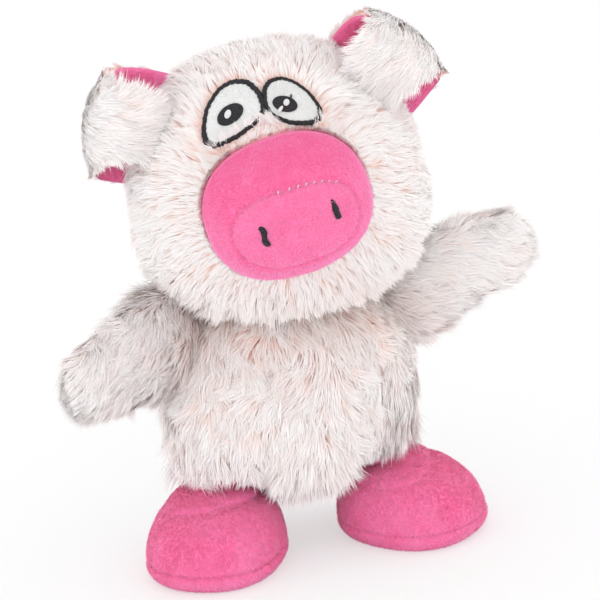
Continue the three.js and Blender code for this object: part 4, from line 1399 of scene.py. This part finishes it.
@dataclass
class Torso:
    """The barrel body, hollowed at the top where the head rests."""

    bag: Bag = Bag(56.0, 43.0, 45.5, 45.5, 0.06, 2.9)
    neck_sink: float = 6.0
    head_shift: float = 1.0
    pile_inset: float = 3.0
    pile_count: int = 76000
    pile_lay: Lay = Lay(
        15.0, 0.52, blush=0.3, lift=0.36, tuck=0.1, sag=0.2, stray=0.45, curl=0.6, locks=((150, 0.16), (24, 0.3))
    )

    def place(self) -> Place:
        """The torso's frame, in the middle of its height."""
        middle = pivot("neck") + np.array([-self.head_shift, 0, self.neck_sink - self.bag.rise])
        return Place(np.eye(3), middle)

    def build(self, head: Head, arms: list["Arm"], boots: list["Boot"]) -> None:
        """Makes the skin and the pile."""
        place = self.place()
        grid = place.out(self.bag.grid(60, 112, self.pile_inset))
        grid = slide_clear(grid, head.obstacle(), DOWN, CLEARANCE - head.pile_inset)
        make_skin("torso_skin", "torso", BACKING, closed_grid("torso_skin", grid), 0.85, "torso_cover", "torso_fill")
        self.build_pile(place, head, arms, boots)

    def build_pile(self, place: Place, head: Head, arms: list["Arm"], boots: list["Boot"]) -> None:
        """Long pile in restless swirls, combed down, with longer locks at the hem over the boots."""
        base = self.bag.scatter(self.pile_count, 21)
        normals = self.bag.normal(base)
        world = place.out(base)
        free = head.bag.depth(head.place().into(world), -3.0) > 0
        for arm in arms:
            free &= arm.bag.depth(arm.into_bag(world), -3.0) > 0
        for boot in boots:
            free &= ~boot.under_ankle(world, 2.0)
        base, normals, world = base[free], normals[free], world[free]
        swirl = drift(base, 30, 22)[:, None]
        fine = drift(base, 12, 23)[:, None]
        across = np.cross(normals, DOWN)
        out = unit(base * np.array([1.0, 0.3, 0]))
        by_arm = smooth(np.abs(base[:, 0]), 28, 50) * smooth(base[:, 2], 4, 26)
        flow = DOWN * (1 - 0.75 * by_arm[:, None]) + (0.35 + 0.8 * by_arm[:, None]) * out
        flow = flow + (0.75 * swirl + 0.55 * fine) * across
        low = smooth(-base[:, 2], 8, 34)
        high = smooth(base[:, 2], 5, 40)
        aside = np.maximum(smooth(np.abs(base[:, 0]), 34, 50), 1 - smooth(np.abs(base[:, 0]), 8, 20))
        over_boot = (1 - aside) * (base[:, 1] < 0)
        to_right = base[:, 0] > 0
        reach = 0.95 + low * (0.55 - (0.65 + 0.2 * to_right) * over_boot) + 0.25 * by_arm
        # Random tone, and painted shade: the upper part, under the head, is coloured warmer; low down a little paler.
        tone = np.clip(0.1 + 0.24 * drift(base, 9, 24) + 0.34 * high - 0.08 * low, 0, 1)
        side = smooth(np.abs(base[:, 0]), 26, 50) * (1 - 0.35 * to_right) * (1 - smooth(base[:, 2], 0, 24))
        roots = world - (self.pile_inset - 3.0 * side[:, None]) * normals
        reach = reach + 0.2 * side
        flow = flow + 0.5 * side[:, None] * out
        facing = base[:, 1] < 0
        for word, chosen, seed in (("front", facing, 25), ("back", ~facing, 26)):
            grow(
                f"torso_pile_{word}", "torso", LONG_FIBRE, self.pile_lay, roots[chosen], normals[chosen],
                flow[chosen], tone[chosen], reach[chosen], seed, 1.5 * low[chosen],
                lambda path: rest_on(path, boots),
            )


def rest_on(points: Array, boots: list["Boot"], margin: float = 0.8, steps: int = 60) -> Array:
    """Points that would sink into a boot, raised a step at a time until they lie on it."""
    raised = points.copy()
    for boot in boots:
        for _ in range(steps):
            raised = raised - STEP * boot.holds(raised, margin)[..., None] * DOWN
    return raised


# Arms


@dataclass
class Arm:
    """A stub arm: a flattened bag that swells towards its root, out of the shoulder."""

    side: Side
    forward: float
    lift: float
    angles: tuple[float, ...]
    bag: Bag = Bag(21.5, 15.0, 38.5, 38.5, 0.16, 2.9)
    root: float = 8.0
    pile_inset: float = 3.0
    pile_count: int = 32000
    pile_lay: Lay = Lay(
        14.0, 0.5, blush=0.25, lift=0.3, tuck=0.05, sag=0.15, stray=0.3, curl=0.25, locks=((110, 0.1), (20, 0.2))
    )

    def place(self) -> Place:
        """The arm's frame: its tip along +X, headed forward and lifted."""
        heading = -self.forward if self.side is Side.RIGHT else 180 + self.forward
        spin = turn((0, 0, 1), heading) @ turn((0, 1, 0), -self.lift)
        return Place(spin, pivot(f"shoulder_{self.side.word}"))

    def from_bag(self, points: Array) -> Array:
        """Points of the bag's frame, its height along +Z, in the toy's frame."""
        laid = points @ turn((0, 1, 0), 90).T + np.array([self.bag.rise - self.root, 0, 0])
        return self.place().out(laid)

    def into_bag(self, points: Array) -> Array:
        """Points of the toy's frame, in the bag's frame."""
        laid = self.place().into(points) - np.array([self.bag.rise - self.root, 0, 0])
        return laid @ turn((0, 1, 0), 90)

    def along(self, vectors: Array) -> Array:
        """Directions of the bag's frame, in the toy's frame."""
        return self.place().along(vectors @ turn((0, 1, 0), 90).T)

    def build(self, torso: Torso, head: Head) -> None:
        """Makes the skin and the pile."""
        body = f"arm_{self.side.word}"
        tip = self.place().along(np.array([1.0, 0, 0]))
        joint = f"shoulder_{self.side.word}"
        chest = Obstacle(torso.bag, torso.place(), joint, self.angles, back=-1.0)
        grid = self.from_bag(self.bag.grid(44, 56, self.pile_inset))
        grid = slide_clear(grid, chest, tip, CLEARANCE - torso.pile_inset)
        mesh = closed_grid(f"{body}_skin", grid)
        make_skin(f"{body}_skin", body, BACKING, mesh, 0.8, f"{body}_cover", f"{body}_fill")
        self.build_pile(body, torso, head, tip)

    def build_pile(self, body: str, torso: Torso, head: Head, tip: Array) -> None:
        """Long pile, combed towards the tip and down, with locks past the edges."""
        base = self.bag.scatter(self.pile_count, 61 + self.side.value)
        world = self.from_bag(base)
        normals = self.along(self.bag.normal(base))
        free = torso.bag.depth(torso.place().into(world), -5.0) > 0
        free &= head.bag.depth(head.place().into(world), -6.0) > 0
        base, world, normals = base[free], world[free], normals[free]
        sway = drift(world, 20, 63)[:, None]
        flow = tip + 0.45 * DOWN + 0.3 * sway * np.cross(normals, tip)
        near = smooth(-base[:, 2], 5, 35)
        roots = world - (self.pile_inset - 2.5 * near[:, None]) * normals
        # Random tone, and painted shade: warmer towards the root, against the body.
        tone = np.clip(0.05 + 0.2 * drift(world, 10, 64) + 0.28 * near, 0, 1)
        reach = 1 - 0.3 * smooth(base[:, 2], 20, 38) + 0.3 * near
        seed = 65 + self.side.value
        grow(f"{body}_pile", body, LONG_FIBRE, self.pile_lay, roots, normals, flow, tone, reach, seed)


# Boots


@dataclass
class Boot:
    """A stuffed boot: a flat sole under an upper that rises into a round ankle.

    With H the height over the floor, the dome is (1 - (H / rise)^3)^0.85, and the length and the width run from
    the ankle's radius to the foot's half sizes with the dome. Low down the foot draws in to its flat sole.
    """

    side: Side
    splay: float
    seam: float
    height: float = 48.0
    ankle: float = 13.5
    half_length: float = 34.0
    half_width: float = 31.0
    rise: float = 36.0
    forward: float = 15.0
    dome_powers: tuple[float, float] = (3.0, 0.85)
    rim: float = 8.5
    rounding: float = 7.0
    bulge: float = 0.14
    box: float = 2.3
    folds: tuple = ((29.5, 2.2, 2.4), (32.4, 3.0, -1.8), (35.2, 2.2, 1.2), (38.5, 1.2, -1.0))
    dent_depth: float = 3.0
    nap_count: int = 40000

    def place(self) -> Place:
        """The boot's frame at the hip, turned out."""
        return Place(turn((0, 0, 1), self.side.value * self.splay), pivot(f"hip_{self.side.word}"))

    def spans(self, height: Array) -> tuple[Array, Array, Array]:
        """Half the width, half the length and the dome at heights over the floor."""
        high, girth = self.dome_powers
        dome = np.clip(1 - (np.clip(height, 0, None) / self.rise) ** high, 0, 1) ** girth
        low = np.clip(1 - height / self.rounding, 0, 1)
        draw = 1 - self.bulge * low * low
        width = (self.ankle + (self.half_width - self.ankle) * dome) * draw
        length = (self.ankle + (self.half_length - self.ankle) * dome) * draw
        return width, length, dome

    def point(self, height: Array, angle: Array, rise: Array | float = 0.0) -> Array:
        """Points of the boot at heights over the floor, raised sideways off its surface."""
        width, length, dome = self.spans(height)
        power = 2 / self.box
        c, s = np.cos(angle), np.sin(angle)
        x = np.sign(c) * np.abs(c) ** power * (width + rise)
        y = np.sign(s) * np.abs(s) ** power * (length + rise) - self.forward * dome
        return np.stack(np.broadcast_arrays(x, y, height - self.height), -1)

    def holds(self, points: Array, margin: float) -> Array:
        """Which points of the toy's frame lie in the foot, grown by a margin."""
        own = self.place().into(points)
        width, length, dome = self.spans(own[..., 2] + self.height - margin)
        across = np.abs(own[..., 0] / (width + margin)) ** self.box
        along = np.abs((own[..., 1] + self.forward * dome) / (length + margin)) ** self.box
        return (across + along < 1) & (own[..., 2] < 0)

    def under_ankle(self, points: Array, margin: float) -> Array:
        """Which points of the toy's low half lie over the ankle, grown by a margin."""
        own = self.place().into(points)
        return (np.hypot(own[..., 0], own[..., 1]) < self.ankle + margin) & (own[..., 2] < 0)

    def creases(self, height: Array, angle: Array) -> Array:
        """How far the stuffed cloth swells or sinks: folds round the ankle, dents over the toe, the seam's groove.

        Each fold is a narrow bell in height about its level, which slants with the angle and lifts over the toe.
        """
        toe = np.clip(-np.sin(angle), 0, 1)
        folds = 0
        for level, deep, slant in self.folds:
            above = height - level - slant * np.cos(angle) - 1.2 * toe
            folds = folds - deep * (0.65 + 0.35 * np.sin(2 * angle + level)) * np.exp(-((above / 1.1) ** 2))
        seam = -self.seam * np.exp(-(((height - self.rim) / 0.9) ** 2))
        return folds - self.dent_depth * self.dents(height, angle) + seam

    def dents(self, height: Array, angle: Array) -> Array:
        """How deep the two soft dents over the toe are, from 0 to 1."""
        facing = angle + math.pi / 2
        first = np.exp(-(((height - 16) / 6) ** 2) - ((np.sin((facing - 0.42) / 2) / 0.11) ** 2))
        second = np.exp(-(((height - 18) / 7) ** 2) - ((np.sin((facing + 0.4) / 2) / 0.09) ** 2))
        return first + 0.8 * second

    def build(self, torso: Torso) -> None:
        """Makes the upper, the sole and their nap."""
        body = f"boot_{self.side.word}"
        angle = np.arange(112) / 112 * 2 * math.pi
        lower = np.concatenate([[0.0, 0.02, 0.3, 0.8], np.linspace(1.4, self.rim - 0.1, 14)])
        upper = np.concatenate([np.linspace(self.rim + 0.1, 12, 10), np.linspace(12.6, self.height, 60)])
        hip = f"hip_{self.side.word}"
        trunk = Obstacle(torso.bag, torso.place(), hip, (-20.0, -10.0, 0.0, 10.0, 20.0))
        for word, heights, nodes in (("sole", lower, ("sole",)), ("upper", upper, ("upper", "fill"))):
            level = np.broadcast_to(heights[:, None], (len(heights), len(angle)))
            turned = np.broadcast_to(angle[None], level.shape)
            grid = self.place().out(self.point(level, turned, self.creases(level, turned)))
            if word == "upper":
                grid = slide_clear(grid, trunk, DOWN, CLEARANCE - torso.pile_inset)
            mesh = closed_grid(f"{body}_{word}_skin", grid)
            make_skin(f"{body}_{word}_skin", body, MINKY, mesh, 0.85, *[f"{body}_{node}" for node in nodes])
        self.build_nap(body, torso)

    def build_nap(self, body: str, torso: Torso) -> None:
        """The boot's short pile, stroked down and forward, and held above the floor."""

        def surface(height: Array, angle: Array) -> Array:
            return self.point(height, angle, self.creases(height, angle))

        height, angle = scatter(surface, (0.4, 42.0), (0, 2 * math.pi), self.nap_count, 71 + self.side.value)
        base, _, inward = tangents(surface, height, angle, (0.05, 0.003))
        world, out = self.place().out(base), self.place().along(-inward)
        free = torso.bag.depth(torso.place().into(world), CLEARANCE - torso.pile_inset) > 0
        flow = DOWN + 0.4 * np.array([0, -1.0, 0])
        # Random tone, and painted shade: a deeper pink in the dents over the toe.
        tone = np.clip(0.3 + 0.35 * drift(base, 18, 9) + 0.6 * self.dents(height, angle), 0, 1)
        grow(
            f"{body}_nap", body, PINK_FIBRE, NAP, world[free], out[free],
            np.broadcast_to(flow, out.shape)[free], tone[free], np.ones(free.sum()), 72 + self.side.value,
            rest=lambda path: np.maximum(path, FLOOR),
        )


# Studio


@dataclass(frozen=True)
class Studio:
    """A pale floor, a pale backdrop, soft lamps and the photograph's camera."""

    azimuth: float = -14.0
    elevation: float = 18.0
    roll: float = 5.2
    distance: float = 1150.0
    per_pixel: float = 0.45
    pixels: int = 600
    target: tuple[float, float, float] = (4.28, 21.35, 111.6)

    def build(self) -> None:
        """Makes the camera, the floor, the lamps and the world."""
        bpy.context.scene.view_settings.view_transform = "Standard"
        self.add_camera()
        self.add_floor()
        for name, spot, size, power in (
            ("key", (-0.8, -1.9, 0.6), 1.3, 5.2),
            ("fill", (0.6, -2.0, 0.2), 1.4, 6.5),
            ("left", (-1.9, -0.5, 0.4), 1.4, 4.6),
            ("right", (1.9, -0.3, 0.5), 1.4, 2.6),
        ):
            self.add_lamp(name, spot, size, power)
        self.add_world()

    def add_camera(self) -> None:
        """The camera looks along its azimuth, down by its elevation, and is rolled about its own axis."""
        a, e, r = (math.radians(v) for v in (self.azimuth, self.elevation, self.roll))
        ahead = Vector((-math.sin(a) * math.cos(e), math.cos(a) * math.cos(e), -math.sin(e)))
        right = ahead.cross(Vector((0, 0, 1))).normalized()
        up = right.cross(ahead)
        right, up = right * math.cos(r) - up * math.sin(r), right * math.sin(r) + up * math.cos(r)
        data = bpy.data.cameras.new("camera")
        data.sensor_width = 36.0
        data.lens = data.sensor_width * self.distance / (self.pixels * self.per_pixel)
        data.clip_start, data.clip_end = 0.01, 20.0
        camera = bpy.data.objects.new("camera", data)
        bpy.context.scene.collection.objects.link(camera)
        placed = Matrix((right, up, -ahead)).transposed().to_4x4()
        placed.translation = (Vector(self.target) - ahead * self.distance) * MM
        camera.matrix_world = placed
        bpy.context.scene.camera = camera

    def add_floor(self) -> None:
        """A wide pale floor that keeps the toy's soft shadow."""
        mesh = bpy.data.meshes.new("floor")
        half = 6.0
        corners = [(-half, -half, 0), (half, -half, 0), (half, half, 0), (-half, half, 0)]
        mesh.from_pydata(corners, [], [(0, 1, 2, 3)])
        floor = bpy.data.objects.new("floor", mesh)
        bpy.context.scene.collection.objects.link(floor)
        material, nodes = new_material("floor_paper")
        shader = nodes.add("BsdfPrincipled", Base_Color=(0.97, 0.97, 0.97, 1), Roughness=0.95)
        white = nodes.add("Emission", Color=(1, 1, 1, 1), Strength=1.0)
        share = nodes.maths("MULTIPLY", nodes.seen(), 0.5)
        nodes.add("OutputMaterial", Surface=nodes.mix(share, shader, white))
        mesh.materials.append(material)

    def add_lamp(self, name: str, spot: tuple, size: float, power: float) -> None:
        """A square area lamp that faces the toy."""
        data = bpy.data.lights.new(name, "AREA")
        data.size, data.energy = size, power
        lamp = bpy.data.objects.new(name, data)
        lamp.location = spot
        lamp.rotation_euler = (Vector((0, 0, 0.12)) - Vector(spot)).to_track_quat("-Z", "Y").to_euler()
        bpy.context.scene.collection.objects.link(lamp)

    def add_world(self) -> None:
        """An even white light from all around, which is also the white background."""
        world = bpy.data.worlds.new("studio")
        world.use_nodes = True
        bpy.context.scene.world = world
        nodes = Nodes(world.node_tree)
        white = nodes.add("Background", Color=(1, 1, 1, 1), Strength=1.0)
        nodes.add("OutputWorld", Surface=white.outputs[0])


def main() -> None:
    """Builds the toy and the studio."""
    logging.basicConfig(level=logging.INFO, format="%(message)s")
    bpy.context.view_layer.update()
    Studio().build()
    head = Head()
    torso = Torso()
    arms = [
        Arm(Side.LEFT, forward=34.0, lift=-7.0, angles=(-12.0, 0.0, 12.0, 25.0)),
        Arm(Side.RIGHT, forward=5.0, lift=18.0, angles=(-28.0, -14.0, 0.0, 8.0)),
    ]
    boots = [Boot(Side.LEFT, splay=30.0, seam=1.1), Boot(Side.RIGHT, splay=40.0, seam=0.6)]
    torso.build(head, arms, boots)
    head.build()
    for arm in arms:
        arm.build(torso, head)
    for boot in boots:
        boot.build(torso)


if __name__ == "__main__":
    main()
